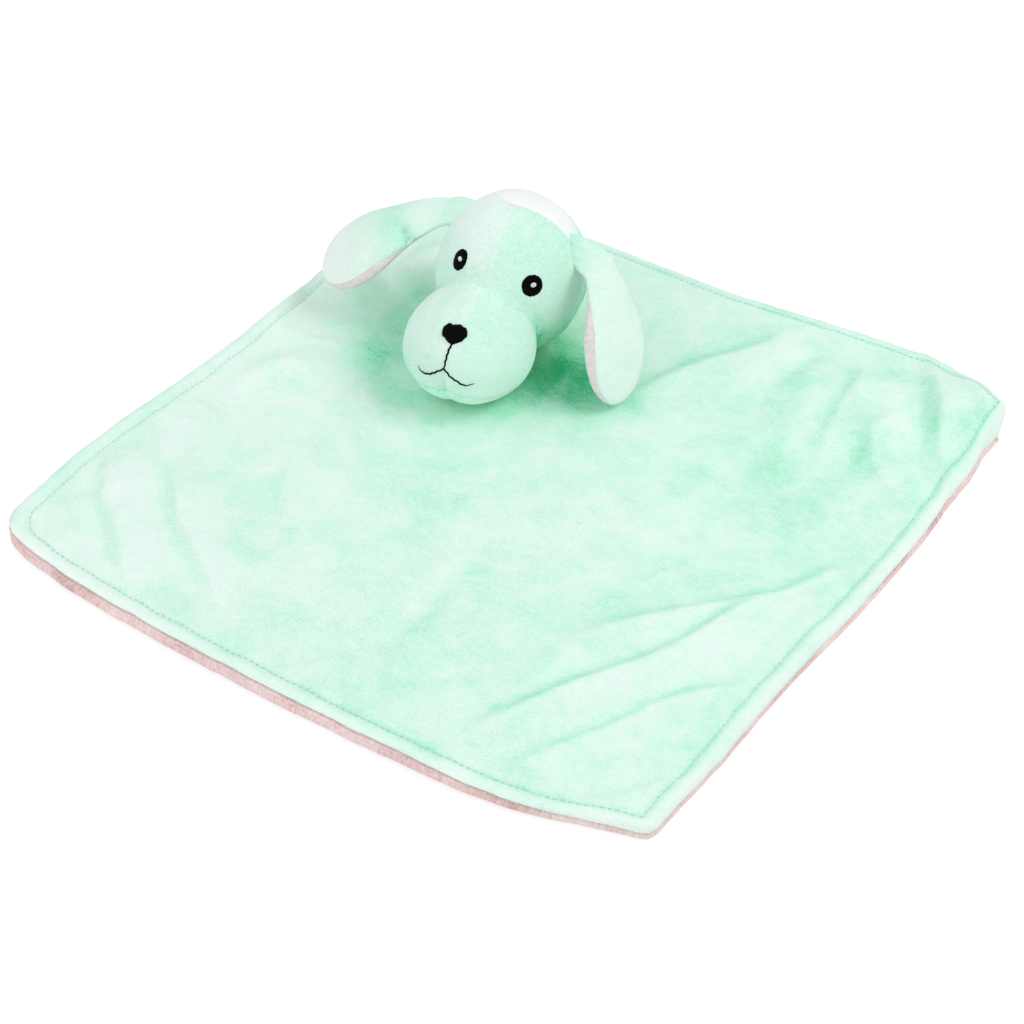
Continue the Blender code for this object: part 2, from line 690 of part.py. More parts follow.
def main():
    clear_scene()
    mint = material("mint_plush", (0.62, 0.90, 0.77))
    rose = material("rose_plush", (0.80, 0.66, 0.64))
    lining = material("ear_lining", (0.84, 0.75, 0.74))
    thread_mat = material("mint_thread", (0.50, 0.80, 0.66), 0.7)
    black = material("black_thread", (0.01, 0.01, 0.01), 0.5)
    white = material("white_thread", (0.9, 0.9, 0.9), 0.5)
    fibre = material("stuffing_fibre", (0.92, 0.92, 0.9))

    blanket = empty("blanket_frame", (0, 0, 0))
    build_blanket(blanket, mint, rose, thread_mat)
    place = Vector(HEAD_PLACE_SHARES).to_3d() * HALF - footprint_centre()
    neck = empty("neck_turn_axis", place + Vector((0, 0, BLANKET_TOP)), blanket, HEAD_HEADING)
    build_neck(neck, mint, thread_mat)
    head = joint("head_nod_axis", Vector((0, NECK_CUT, CLEARANCE)), neck)
    build_head(head, mint, fibre)
    build_seams(head, thread_mat)
    build_face(head, black, white)
    left_lie = (EAR_LEFT_HEIGHT, EAR_LEFT_LIE, EAR_LEFT_TIP_HEIGHT, EAR_LEFT_REACH_SHARE)
    build_ear("ear_left", 1, *left_lie, head, mint, lining, fibre, thread_mat)
    right_lie = (EAR_RIGHT_HEIGHT, EAR_RIGHT_LIE, EAR_RIGHT_TIP_HEIGHT, EAR_RIGHT_REACH_SHARE)
    build_ear("ear_right", -1, *right_lie, head, mint, lining, fibre, thread_mat)


main()
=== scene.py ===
"""A comfort blanket with a stuffed puppy head: its plush, seams, stitches and embroidery."""
import math

import bmesh
import bpy
import numpy as np
from mathutils import Matrix, Vector, noise


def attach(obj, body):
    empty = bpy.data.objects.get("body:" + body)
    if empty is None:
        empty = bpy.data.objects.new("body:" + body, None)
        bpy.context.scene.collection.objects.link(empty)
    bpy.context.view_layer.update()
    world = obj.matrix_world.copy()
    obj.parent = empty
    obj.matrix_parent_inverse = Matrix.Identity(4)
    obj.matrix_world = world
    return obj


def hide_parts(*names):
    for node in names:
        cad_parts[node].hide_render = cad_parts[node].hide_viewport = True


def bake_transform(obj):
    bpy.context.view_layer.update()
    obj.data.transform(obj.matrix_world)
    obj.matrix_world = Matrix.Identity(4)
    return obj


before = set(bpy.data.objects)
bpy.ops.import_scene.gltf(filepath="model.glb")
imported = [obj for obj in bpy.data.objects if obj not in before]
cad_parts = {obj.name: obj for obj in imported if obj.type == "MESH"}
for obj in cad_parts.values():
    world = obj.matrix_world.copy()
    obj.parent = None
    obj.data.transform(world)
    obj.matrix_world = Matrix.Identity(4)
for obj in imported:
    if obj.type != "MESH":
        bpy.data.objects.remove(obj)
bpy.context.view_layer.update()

MM = 0.001


# Camera, lamps and floor

CAMERA_PLACE = (0.54643, -0.82694, 0.8472)
CAMERA_TILT, CAMERA_TURN = math.radians(48.83), math.radians(33.57)
ROOM_LIGHT = 0.665
FLOOR_GLOW, FLOOR_GLOW_SHARE = 1.12, 0.66


def linked(name, data):
    """A new object with the data, in the scene."""
    obj = bpy.data.objects.new(name, data)
    bpy.context.collection.objects.link(obj)
    return obj


def mesh_of(name, bm):
    mesh = bpy.data.meshes.new(name)
    bm.to_mesh(mesh)
    bm.free()
    return mesh


def place_camera():
    lens = bpy.data.cameras.new("photo_view")
    lens.lens, lens.sensor_width, lens.clip_start = 100, 36, 0.01
    camera = linked("photo_view", lens)
    camera.location = CAMERA_PLACE
    camera.rotation_euler = (CAMERA_TILT, 0, CAMERA_TURN)
    bpy.context.scene.camera = camera


def lamp(name, size, watts, place, target):
    data = bpy.data.lights.new(name, "AREA")
    data.shape, data.size, data.energy = "DISK", size, watts
    obj = linked(name, data)
    obj.location = place
    obj.rotation_euler = (Vector(target) - Vector(place)).to_track_quat("-Z", "Y").to_euler()


def node(tree, kind, inputs, **settings):
    """Adds a node; each input is given as a socket to link or as a plain value."""
    made = tree.nodes.new("ShaderNode" + kind)
    for name, value in settings.items():
        setattr(made, name, value)
    for key, value in inputs.items():
        if isinstance(value, bpy.types.NodeSocket):
            tree.links.new(value, made.inputs[key])
        else:
            made.inputs[key].default_value = value
    return made


def worked_out(tree, operation, *values):
    """The result of a Math node on sockets or numbers."""
    return node(tree, "Math", dict(enumerate(values)), operation=operation).outputs[0]


def seen_directly(tree):
    """1 for what the camera, a mirror or a clear material sees, else 0."""
    ray = node(tree, "LightPath", {}).outputs
    seen = worked_out(tree, "MAXIMUM", ray["Is Camera Ray"], ray["Is Glossy Ray"])
    return worked_out(tree, "MAXIMUM", seen, ray["Is Transmission Ray"])


def light_the_room():
    scene = bpy.context.scene
    scene.view_settings.view_transform = "Standard"
    scene.world = bpy.data.worlds.new("room")
    scene.world.use_nodes = True
    tree = scene.world.node_tree
    tree.nodes.clear()
    room = node(tree, "Background", {"Color": (0.96, 0.98, 1, 1), "Strength": ROOM_LIGHT})
    white = node(tree, "Background", {"Strength": 1})
    mix = node(tree, "MixShader", {0: seen_directly(tree), 1: room.outputs[0], 2: white.outputs[0]})
    node(tree, "OutputWorld", {"Surface": mix.outputs[0]})
    lamp("key", 0.8, 7.3, (0.85, 0.38, 1.15), (-0.03, 0.02, 0))
    lamp("fill", 1.5, 2.6, (-0.95, -0.15, 1.1), (0, 0, 0))
    lamp("front", 1.0, 2.6, (-0.30, -1.05, 0.42), (0, 0, 0.02))


def lay_floor():
    bm = bmesh.new()
    bmesh.ops.create_grid(bm, x_segments=1, y_segments=1, size=3)
    floor = linked("floor", mesh_of("floor", bm))
    mat, tree, paint = finish("white_sweep", {
        "Base Color": (0.93, 0.93, 0.93, 1), "Roughness": 0.9, "Specular IOR Level": 0.1})
    white = node(tree, "Emission", {"Strength": FLOOR_GLOW})
    share = worked_out(tree, "MULTIPLY", seen_directly(tree), FLOOR_GLOW_SHARE)
    mix = node(tree, "MixShader", {0: share, 1: paint.outputs[0], 2: white.outputs[0]})
    tree.links.new(mix.outputs[0], tree.nodes["Material Output"].inputs["Surface"])
    floor.data.materials.append(mat)


# Finishes

KNIT_ROW = 0.9 * MM
GRAIN = (1900, 900, 1300)


def finish(name, values):
    mat = bpy.data.materials.new(name)
    mat.use_nodes = True
    shader = mat.node_tree.nodes["Principled BSDF"]
    for key, value in values.items():
        shader.inputs[key].default_value = value
    return mat, mat.node_tree, shader


def cloth_finish(name, roughness, specular, sheen=0.0, sheen_roughness=0.5, sheen_tint=(1, 1, 1)):
    mat, tree, shader = finish(name, {
        "Roughness": roughness, "Specular IOR Level": specular, "Sheen Weight": sheen,
        "Sheen Roughness": sheen_roughness, "Sheen Tint": (*sheen_tint, 1)})
    return mat, tree, shader, node(tree, "TexCoord", {}).outputs["Object"]


def mapped(tree, coords, way, value):
    return node(tree, "Mapping", {"Vector": coords, way: value}).outputs["Vector"]


def noise_node(tree, coords, scale, detail=2.0, roughness=0.5, distortion=0.0, stretch=None, turn=(0, 0, 0)):
    """A noise of the given scale, turned and then stretched to lie along a direction."""
    if stretch:
        coords = mapped(tree, mapped(tree, coords, "Rotation", turn), "Scale", stretch)
    return node(tree, "TexNoise", {
        "Vector": coords, "Scale": scale, "Detail": detail, "Roughness": roughness, "Distortion": distortion,
    }).outputs["Fac"]


def rows_node(tree, coords, period, turn, wobble=1.5):
    """Rows of the given period, across the X of the turned coordinates."""
    return node(tree, "TexWave", {
        "Vector": mapped(tree, coords, "Rotation", turn), "Scale": 2 * math.pi / 20 / period,
        "Distortion": wobble, "Detail": 1,
    }, wave_type="BANDS", bands_direction="X").outputs["Fac"]


def scaled_sum(tree, *parts):
    """The sum of sockets, or plain numbers, times shares."""
    total = 0
    for value, share in parts:
        total = worked_out(tree, "MULTIPLY_ADD", value, share, total)
    return total


def two_tone(tree, factor, deep, pale, shader):
    mix = node(tree, "Mix", {"Factor": factor, "A": (*deep, 1), "B": (*pale, 1)}, data_type="RGBA")
    tree.links.new(mix.outputs["Result"], shader.inputs["Base Color"])


def raise_pile(tree, height, strength, distance, shader):
    bump = node(tree, "Bump", {"Height": height, "Strength": strength, "Distance": distance})
    tree.links.new(bump.outputs["Normal"], shader.inputs["Normal"])


def pile_colours(tree, factor, stops, shader):
    """Colours along that value, from the painted shade deep in a crease, through the pile's deeper and middle
    tones, to pale.
    """
    ramp = node(tree, "ValToRGB", {0: factor})
    elements = ramp.color_ramp.elements
    for element, (place, colour) in zip(elements, (stops[0], stops[-1])):
        element.position, element.color = place, (*colour, 1)
    for place, colour in stops[1:-1]:
        elements.new(place).color = (*colour, 1)
    tree.links.new(ramp.outputs[0], shader.inputs["Base Color"])


def velour(name, stops, turn=(0, 0, 0), mottle=0.6, strokes=0.4, rows=0.4, pile=0.6, hair=(420, 170, 260),
           speckle=0.62):
    """Short-pile velour: its colour follows a value at each point which holds the pile's tone together with
    painted light and shade, broken by mottled patches, brush strokes, the grain of the pile and, in patches,
    the knit rows of its backing."""
    mat, tree, shader, coords = cloth_finish(name, 0.88, 0.12, 0.2, 0.4, (0.95, 1, 0.98))
    tone_and_lighting = node(tree, "Attribute", {}, attribute_name="tone_and_lighting").outputs["Fac"]
    patches = noise_node(tree, coords, 42, 6, 0.66, 0.6)
    stroke = noise_node(tree, coords, 1, 4, 0.65, 0.4, hair, turn)
    grain = noise_node(tree, coords, 1, 2, 0.7, 0, GRAIN, turn)
    bare = noise_node(tree, coords, 55)
    knit = worked_out(tree, "MULTIPLY", rows_node(tree, coords, KNIT_ROW, turn), bare)
    factor = scaled_sum(
        tree, (tone_and_lighting, 1), (patches, mottle), (stroke, strokes), (grain, speckle), (knit, rows),
        (1, -(mottle + strokes + speckle) / 2 - rows / 4))
    pile_colours(tree, factor, stops, shader)
    height = scaled_sum(tree, (grain, 0.9), (stroke, 0.35), (knit, 1.4 * rows))
    raise_pile(tree, height, pile, 0.5 * MM, shader)
    return mat


def combed_plush(name, deep, pale, turn):
    """The ears' lining: a longer soft pile, combed in short slanted locks."""
    mat, tree, shader, coords = cloth_finish(name, 0.9, 0.12, 0.3, 0.5, (1, 0.97, 0.97))
    locks = noise_node(tree, coords, 1, 3, 0.6, 0.8, (700, 200, 450), turn)
    grain = noise_node(tree, coords, 1300, 2, 0.7)
    clamp = node(tree, "Clamp", {"Value": scaled_sum(tree, (locks, 1.3), (grain, 0.7), (1, -0.55))})
    two_tone(tree, clamp.outputs[0], deep, pale, shader)
    raise_pile(tree, scaled_sum(tree, (locks, 1), (grain, 0.5)), 0.8, 0.7 * MM, shader)
    return mat


def stitched(name, colour, sheen_colour, turn, period=0.42 * MM, roughness=0.45):
    """Satin stitch: threads laid side by side, with a painted sheen that makes them paler on their crests."""
    mat, tree, shader, coords = cloth_finish(name, roughness, 0.03)
    threads = rows_node(tree, coords, period, turn, 1.2)
    grain = noise_node(tree, coords, 2500, 1)
    two_tone(tree, scaled_sum(tree, (threads, 0.5), (grain, 0.4)), colour, sheen_colour, shader)
    raise_pile(tree, scaled_sum(tree, (threads, 1), (grain, 0.4)), 0.9, 0.2 * MM, shader)
    return mat


# Making pieces

SHARP_ANGLE = math.radians(62)


def finished(name, bm, mat):
    """An object at the origin with the mesh, its faces turned outwards."""
    bmesh.ops.recalc_face_normals(bm, faces=bm.faces[:])
    if bm.calc_volume(signed=True) < 0:
        bmesh.ops.reverse_faces(bm, faces=bm.faces[:])
    obj = linked(name, mesh_of(name, bm))
    obj.data.materials.append(mat)
    obj.data.shade_smooth()
    obj.data.set_sharp_from_angle(angle=SHARP_ANGLE)
    return obj


def two_faced(bm):
    """Doubles an open patch into the two faces of a closed one; returns which vertices are the inner face."""
    made = bmesh.ops.extrude_face_region(bm, geom=bm.faces[:], use_keep_orig=True)["geom"]
    inner = {v for v in made if isinstance(v, bmesh.types.BMVert)}
    bm.verts.index_update()
    return np.array([v in inner for v in bm.verts])


def places_of(bm):
    return np.array([v.co for v in bm.verts])


def move_to(bm, places):
    for v, p in zip(bm.verts, places):
        v.co = p


def keep_side(bm, normal, least):
    normal = Vector(normal).normalized()
    bmesh.ops.bisect_plane(
        bm, geom=bm.verts[:] + bm.edges[:] + bm.faces[:], dist=1e-6,
        plane_co=normal * least, plane_no=normal, clear_inner=True,
    )


def give(obj, name, values):
    attribute = obj.data.attributes.new(name, "FLOAT", "POINT")
    attribute.data.foreach_set("value", np.asarray(values, np.float32))


def flat_places(x, y):
    return np.stack((x, y, 0 * x), 1)


def wander(places, scale, seed, detail=0):
    """Smooth noise from -1 to 1 at each place, with features of about the given size."""
    shift = Vector((seed * 17.3, seed * 5.1, seed * 9.7))
    if detail:
        return np.array([noise.fractal(Vector(p) / scale + shift, 1, 2, detail) for p in places])
    return np.array([noise.noise(Vector(p) / scale + shift) for p in places])


def along(values, t):
    """A smooth curve through evenly spaced values, read at t from 0 to 1."""
    values = np.asarray(values, float)
    spans = len(values) - 1
    at = np.clip(t, 0, 1) * spans
    i = np.minimum(at.astype(int), spans - 1)
    f = at - i
    a, b, c, d = (values[np.clip(k, 0, spans)] for k in (i - 1, i, i + 1, i + 2))
    return b + 0.5 * f * (c - a + f * (2 * a - 5 * b + 4 * c - d + f * (3 * (b - c) + d - a)))


def unit(vectors):
    return vectors / np.linalg.norm(vectors, axis=1)[:, None]


def step(x, low, high):
    t = np.clip((x - low) / (high - low), 0, 1)
    return t * t * (3 - 2 * t)


def bell(x, width):
    """1 where x is 0, fading to 0 both ways over about twice the width."""
    return np.exp(-(x / width) ** 2)


# The blanket's outline

HALF = 0.170
MIDDLE_X, MIDDLE_Y = -1.18 * MM, -1.90 * MM
UNEVEN_EDGE = 0.5 * MM
LIFTED_CORNER = (172, 160)
CORNER_LIFT, CORNER_TUCK = 13.0 * MM, 9 * MM
BOW = 0.010
CORNER_RADII = {(-1, -1): 0.023, (1, -1): 0.007, (1, 1): 0.007, (-1, 1): 0.034}
FRONT_BOW = (-0.5, 0.42, 0.83, 1.0, 0.97, 0.55, -1.1)
BACK_BOW = (-1.5, 0.05, 0.3, 0.3, 0.8, 0.95, -1.35)
LEFT_BOW = (0.6, 0.75, 0.3, -0.2, -0.25, -0.7, -1.7)
RIGHT_BOW = (-0.3, -0.1, -0.05, 0.3, 0.45, 0.35, 0.45)


def corners_round(x, y):
    """For each corner: its sides and radius, how far points reach into its round each way, and which are in
    it."""
    for (side_x, side_y), radius in CORNER_RADII.items():
        p, q = ((np.abs(k) - HALF + radius) / radius for k in (x, y))
        here = (np.sign(x) == side_x) & (np.sign(y) == side_y) & (p > 0) & (q > 0)
        yield side_x, side_y, radius, p, q, here


def outline(x, y):
    """Where points of the plain square lie in the blanket's outline: corners rounded and sides bowed."""
    u, v = x.copy(), y.copy()
    for side_x, side_y, radius, p, q, here in corners_round(x, y):
        flat = HALF - radius
        u[here] = side_x * (flat + radius * p * np.sqrt(np.maximum(1 - q * q / 2, 0)))[here]
        v[here] = side_y * (flat + radius * q * np.sqrt(np.maximum(1 - p * p / 2, 0)))[here]
    across, up = (u / HALF + 1) / 2, (v / HALF + 1) / 2
    right, left = along(RIGHT_BOW, up) * across, along(LEFT_BOW, up) * (1 - across)
    back, front = along(BACK_BOW, across) * up, along(FRONT_BOW, across) * (1 - up)
    return u + BOW * (right - left), v + BOW * (back - front)


def inset_at(x, y):
    """How far points of the plain square lie inside its edge, measured round the rounded corners."""
    inset = HALF - np.maximum(np.abs(x), np.abs(y))
    for _, _, radius, p, q, here in corners_round(x, y):
        inset = np.where(here, radius * (1 - np.sqrt(np.maximum(p * p + q * q - p * p * q * q, 0))), inset)
    return inset


def on_table(x, y):
    """Places in the blanket's own frame for points of the plain square; the edge is a little uneven."""
    u, v = outline(x, y)
    off_x, off_y = (UNEVEN_EDGE * wander(flat_places(x, y), 0.011, seed) for seed in (14, 15))
    return u - MIDDLE_X + off_x, v - MIDDLE_Y + off_y


# The blanket's folds, in millimetres: height, half width, crest; a valley has a height below zero

FOLDS = (
    (4.4, 13, ((165, -5), (145, -42), (127, -79), (105, -115), (89, -149))),
    (2.4, 11, ((161, -71), (146, -105), (119, -146))),
    (1.8, 12, ((143, -3), (109, -48), (82, -99), (68, -153))),
    (4.6, 11, ((133, 165), (148, 141), (163, 119))),
    (3.6, 12, ((105, 158), (122, 119), (161, 82))),
    (2.6, 12, ((75, 163), (85, 122), (95, 76))),
    (1.8, 12, ((54, 163), (54, 122), (37, 82))),
    (2.8, 12, ((-165, -85), (-126, -119), (-88, -156))),
    (2.2, 11, ((-163, -126), (-136, -156))),
    (8.4, 11, ((-165, 61), (-143, 73), (-124, 94), (-116, 133))),
    (2.4, 10, ((-158, -20), (-122, 10), (-99, 20))),
    (-2.4, 5, ((60, 162), (72, 147), (60, 112))),
    (-1.3, 7, ((85, 80), (87, 40))),
    (-1.5, 7, ((20, -37), (17, -75), (17, -125), (19, -145))),
    (-1.5, 7, ((47, -15), (62, -35))),
    (1.8, 6, ((-125, 12), (-150, -25))),
    (-4.5, 6, ((-146, 96), (-132, 84), (-118, 76))),
    (1.6, 4.5, ((-170, 28), (-140, 22), (-112, 31), (-94, 42))),
)

# Creases, in millimetres: height, run of the steep side, run of the gentle side, line. Seen along the line,
# the gentle side is on the left.

CREASES = (
    (3.2, 8, 10, ((163, 31), (151, 17), (146, 1), (140, -14), (125, -28), (110, -44), (94, -63), (84, -80))),
    (5.0, 9, 11, (
        (142, -10), (134, -30), (127, -55), (119, -76), (109, -93), (98, -111), (82, -136), (72, -151))),
    (3.8, 8, 9, ((162, -55), (151, -72), (145, -81), (134, -96), (125, -116), (112, -139), (99, -160))),
    (2.4, 6, 8, ((165, -120), (152, -141), (136, -157))),
    (2.6, 9, 12, ((52, 166), (48, 142), (34, 118), (17, 80), (12, 68))),
    (2.2, 7, 10, ((92, 166), (99, 140), (105, 105), (111, 80))),
    (4.2, 9, 9, ((106, 192), (122, 168), (144, 134), (170, 92), (182, 72))),
    (3.4, 8, 6, ((118, 184), (150, 156), (180, 126))),
    (2.4, 9, 10, ((132, 142), (123, 112), (133, 91), (153, 78), (172, 66))),
    (3.8, 6, 13, ((-168, -90), (-143, -123), (-121, -141), (-93, -165))),
    (4.6, 7, 14, ((-138, -84), (-107, -115), (-83, -131), (-56, -150))),
    (1.4, 8, 10, ((-100, -40), (-80, -70), (-55, -92), (-30, -104))),
)
FOLD_FADE = 34
CREST_OFF_LINE = 0.8


def along_line(px, py, line):
    """How far points lie off a line, how far in from its ends, from 0 to 1, and the side that they are on."""
    best, where, before, side = np.full_like(px, 1e9), np.zeros_like(px), 0, np.ones_like(px)
    for (ax, ay), (bx, by) in zip(line, line[1:]):
        run = math.hypot(bx - ax, by - ay)
        share = np.clip(((px - ax) * (bx - ax) + (py - ay) * (by - ay)) / run ** 2, 0, 1)
        off_x, off_y = px - ax - share * (bx - ax), py - ay - share * (by - ay)
        off = np.hypot(off_x, off_y)
        nearer = off < best
        best = np.where(nearer, off, best)
        where = np.where(nearer, before + share * run, where)
        side = np.where(nearer, np.where((bx - ax) * off_y - (by - ay) * off_x > 0, 1, -1), side)
        before += run
    fade = np.minimum(1, np.minimum(where, before - where) / min(FOLD_FADE, before / 2))
    return best, np.maximum(fade, 0), side


def folds_at(x, y):
    """How high the folds lift the cloth, in metres, at places in metres."""
    places = flat_places(x, y)
    bend_x, bend_y = wander(places, 0.045, 3), wander(places, 0.045, 4)
    px, py = x / MM + 3.0 * bend_x, y / MM + 3.0 * bend_y
    lift = np.zeros_like(px)
    for height, width, crest in FOLDS:
        off, fade, _ = along_line(px, py, crest)
        width = width * (1.6 - 0.6 * fade)
        lift += height * bell(off, width) * np.sin(fade * math.pi / 2)
    for height, steep, gentle, line in CREASES:
        off, fade, left = along_line(px, py, line)
        past_crest = off * left - CREST_OFF_LINE
        rise = np.clip(1 + past_crest / steep, 0, 1) ** 2.1
        profile = rise * np.exp(-(np.maximum(past_crest, 0) / gentle) ** 1.6)
        lift += height * profile * np.sin(fade * math.pi / 2)
    soft = wander(places, 0.060, 5) * 0.9 + wander(places, 0.022, 6) * 0.35
    crumple = np.minimum(np.abs(lift) / 3, 1)
    ripple = 1 - 2 * np.abs(wander(places * (1, 0.6, 1), 0.014, 7))
    return (lift + soft + (0.12 + 0.35 * crumple) * ripple) * MM


# The rolled rim: inset in millimetres, then the height as a share of the way from the seam up to the crest
RIM = ((1.5, -0.06), (0.8, 0.0), (0.3, 0.12), (0, 0.3), (0.1, 0.5), (0.5, 0.7), (1.2, 0.87), (2.2, 1))
# Inside the rim: inset and height below the crest, in millimetres, through the stitched groove to the flat
BORDER = (
    (3.3, 0), (4.4, 0.15), (5.3, 0.45), (6.0, 0.95), (6.6, 1.55), (7.1, 2.0), (7.6, 2.15), (8.1, 2.0),
    (8.8, 1.55), (9.6, 1.3), (10.6, 1.25), (12, 1.35), (13.6, 1.5), (15.4, 1.6),
)
CREST = 7.6 * MM
# The rose panel's rim, from the seam down to the table
UNDER_RIM = (
    (1.7, 1.02), (1.0, 1.0), (0.4, 0.9), (0, 0.7), (0.05, 0.48), (0.4, 0.26), (1.1, 0.1), (2.1, 0.02),
    (3.4, 0),
)
UNDER_BORDER = (5, 8, 12)
# How far the rose panel's outer rows follow the mint panel's edge inwards
SHELF = (1, 0.72, 0.42, 0.15)
STITCH_INSET = 7.6 * MM
LOOP_POINTS, STITCHES, SEAM_POINTS = 2400, 384, 800
STITCH_SIZE = (2.8 * MM, 0.9 * MM, 0.8 * MM)
SEAM_INSET = 1.3 * MM
LOWEST_SEAM = 1.2 * MM
TOP_ROWS, BASE_ROWS = 218, 130
TOP_PLUSH, BASE_PLUSH, BASE_RIM_PLUSH = 2.4 * MM, 2.0 * MM, 2.2 * MM
PANEL_GAP = 0.1 * MM
# How thick the plush is at the outermost part of the rims, and how far in from the edge that part reaches
TOP_RIM_SIDE, BASE_RIM_SIDE, OUTERMOST = 1.3 * MM, 1.2 * MM, 3 * MM
# Where the cloth is pulled in towards the seam: fully up to the first distance from the edge, not at all past
# the second
PULLED = (10 * MM, 26 * MM)
# Where the rose panel hangs down and tucks in at the lifted corner, in the same way
NEAR_EDGE = (8 * MM, 30 * MM)


def near(u, v, x, y, radius):
    """1 at a place on the table, in millimetres, fading to 0 round it."""
    return np.exp(-((u / MM - x) ** 2 + (v / MM - y) ** 2) / radius ** 2)


def set_in(x, y):
    """How far the mint panel's edge is set in from the rose one's: most at the front left, where the rose
    panel rolls up outside it, and a little along the right."""
    front = step(-y, 0.10, 0.165) * (1 - step(x, 0.02, 0.15))
    corner = near(x, y, -178, -150, 50)
    right = 0.7 * near(x, y, 170, 15, 50) + 0.5 * near(x, y, 170, 80, 40) + 1.1 * near(x, y, 170, 150, 45)
    right *= step(x, 0.10, 0.165)
    return (0.35 + 2.4 * np.maximum(front, corner) + right) * MM


def seam_height(x, y):
    """How high over the table the seam lies: highest at the front left, lowest at the lifted corner."""
    front_left = step(-x - 1.6 * y, 0.0, 0.24)
    uneven = 0.3 * wander(flat_places(x, y), 0.05, 11)
    return (2.5 + 3.0 * front_left - 1.2 * near(x, y, *LIFTED_CORNER, 40) + uneven) * MM


def hang(x, y):
    """How much the rim outside the stitches hangs down, from 0 to 1: a little at the back, most at the corner
    that is lifted."""
    return np.maximum(0.42 * step(y, 0.12, 0.160), 0.85 * near(x, y, *LIFTED_CORNER, 30))


def hung(x, y):
    """Points of the plain square drawn in towards the stitches where the rim hangs, and how far they drop."""
    share = hang(x, y)
    in_x, in_y = (np.maximum(STITCH_INSET - (HALF - np.abs(k)), 0) for k in (x, y))
    drop = 0.85 * share * np.maximum(STITCH_INSET - inset_at(x, y), 0)
    return x - np.sign(x) * 0.6 * share * in_x, y - np.sign(y) * 0.6 * share * in_y, drop


def tucked(x, y):
    """How far the lower edge of the lifted corner is tucked back under it."""
    return CORNER_TUCK * near(x, y, 172, 162, 24)


def cloth_grid(insets, count):
    """A square grid with two faces, whose outer rows lie at the given insets; returns it with each vertex's
    place in the plain square, its row from the edge, whether it is on the inner face, and its place in the
    grid."""
    last = count - 1
    edge = len(insets)
    flat = HALF - insets[-1]
    inner = list(np.linspace(-flat, flat, count - 2 * edge + 2)[1:-1])
    rows = [-(HALF - i) for i in insets] + inner + [HALF - i for i in insets[::-1]]
    bm = bmesh.new()
    bmesh.ops.create_grid(bm, x_segments=last, y_segments=last, size=1)
    inner_face = two_faced(bm)
    at = np.rint((places_of(bm)[:, :2] + 1) / 2 * last).astype(int)
    rows = np.array(rows)
    from_edge = np.minimum(np.minimum(at[:, 0], last - at[:, 0]), np.minimum(at[:, 1], last - at[:, 1]))
    return bm, rows[at[:, 0]], rows[at[:, 1]], from_edge, inner_face, at


def by_row(row, values, further_in):
    """Each vertex's value for its row from the edge, with one value for all rows further in."""
    return np.array([*values, further_in])[np.minimum(row, len(values))]


def drawn_in(x, y):
    """Moves points of the plain square in with the mint panel's edge; the middle stays."""
    by = set_in(x, y)
    x, y, _ = hung(x, y)
    return tuple(k - np.sign(k) * by * (1 - step(HALF - np.abs(k), *PULLED)) for k in (x, y))


def lift_on_edge(x, y):
    """The folds, flattened a little where the stitched edge stiffens the cloth, and the lifted corner."""
    square = np.maximum(np.abs(x), np.abs(y))
    corner = CORNER_LIFT * near(x, y, *LIFTED_CORNER, 28)
    return folds_at(x, y) * (1 - 0.35 * step(square, HALF - 0.012, HALF)) + corner


def puckers(x, y, inset):
    """Small gathers that the stitches draw in the cloth near them."""
    return bell(inset / MM - 7.0, 5.5) * 0.34 * MM * wander(flat_places(x, y), 0.0058, 12)


def top_surface(x, y):
    """Where the blanket's top lies for points of the plain square, inside its rim."""
    inset = inset_at(x, y)
    u, v = on_table(*drawn_in(x, y))
    known = np.array(BORDER) * MM
    below = np.interp(inset, known[:, 0], known[:, 1])
    return u, v, CREST - below - hung(x, y)[2] + lift_on_edge(u, v) + puckers(u, v, inset)


# Where the pile is paler or deeper, in millimetres on the table: place, radius, and how much. The deepest
# ones, beside and in front of the muzzle and under the ears, are painted shadow of the head; the rest are
# patches of tone.
TONE_AND_SHADE_PATCHES = (
    (-60, 10, 28, -0.03), (-110, -35, 26, 0.02), (60, 80, 35, -0.06), (-20, -120, 22, 0.08),
    (20, -40, 14, 0.08), (90, -110, 30, 0.04), (120, 60, 25, -0.04), (-140, -140, 25, 0.10),
    (-30, 60, 26, -0.10), (-75, -150, 25, 0.08), (-120, 60, 22, -0.12), (-150, 110, 30, -0.1),
    (-92, 32, 20, -0.16), (-112, 75, 20, -0.18), (-2, 55, 22, -0.12), (150, -20, 40, -0.05),
    (100, 120, 45, -0.07), (-132, -110, 12, 0.10), (-114, -138, 12, 0.12), (-97, -104, 13, 0.12),
    (-69, -127, 13, 0.10), (-71, -81, 10, 0.10), (-35, -97, 13, 0.08), (-157, -129, 8, -0.14),
    (-146, -146, 9, -0.10), (-81, -150, 11, -0.14), (-60, -110, 9, -0.10), (-20, -136, 14, -0.12),
    (-94, -40, 14, -0.06), (-101, 36, 14, -0.36), (-106, 62, 14, -0.30), (-112, 84, 8, -0.34),
    (-86, 17, 10, -0.28), (-74, 13, 9, -0.16), (150, 40, 55, -0.04), (-3, 59, 13, -0.16),
)


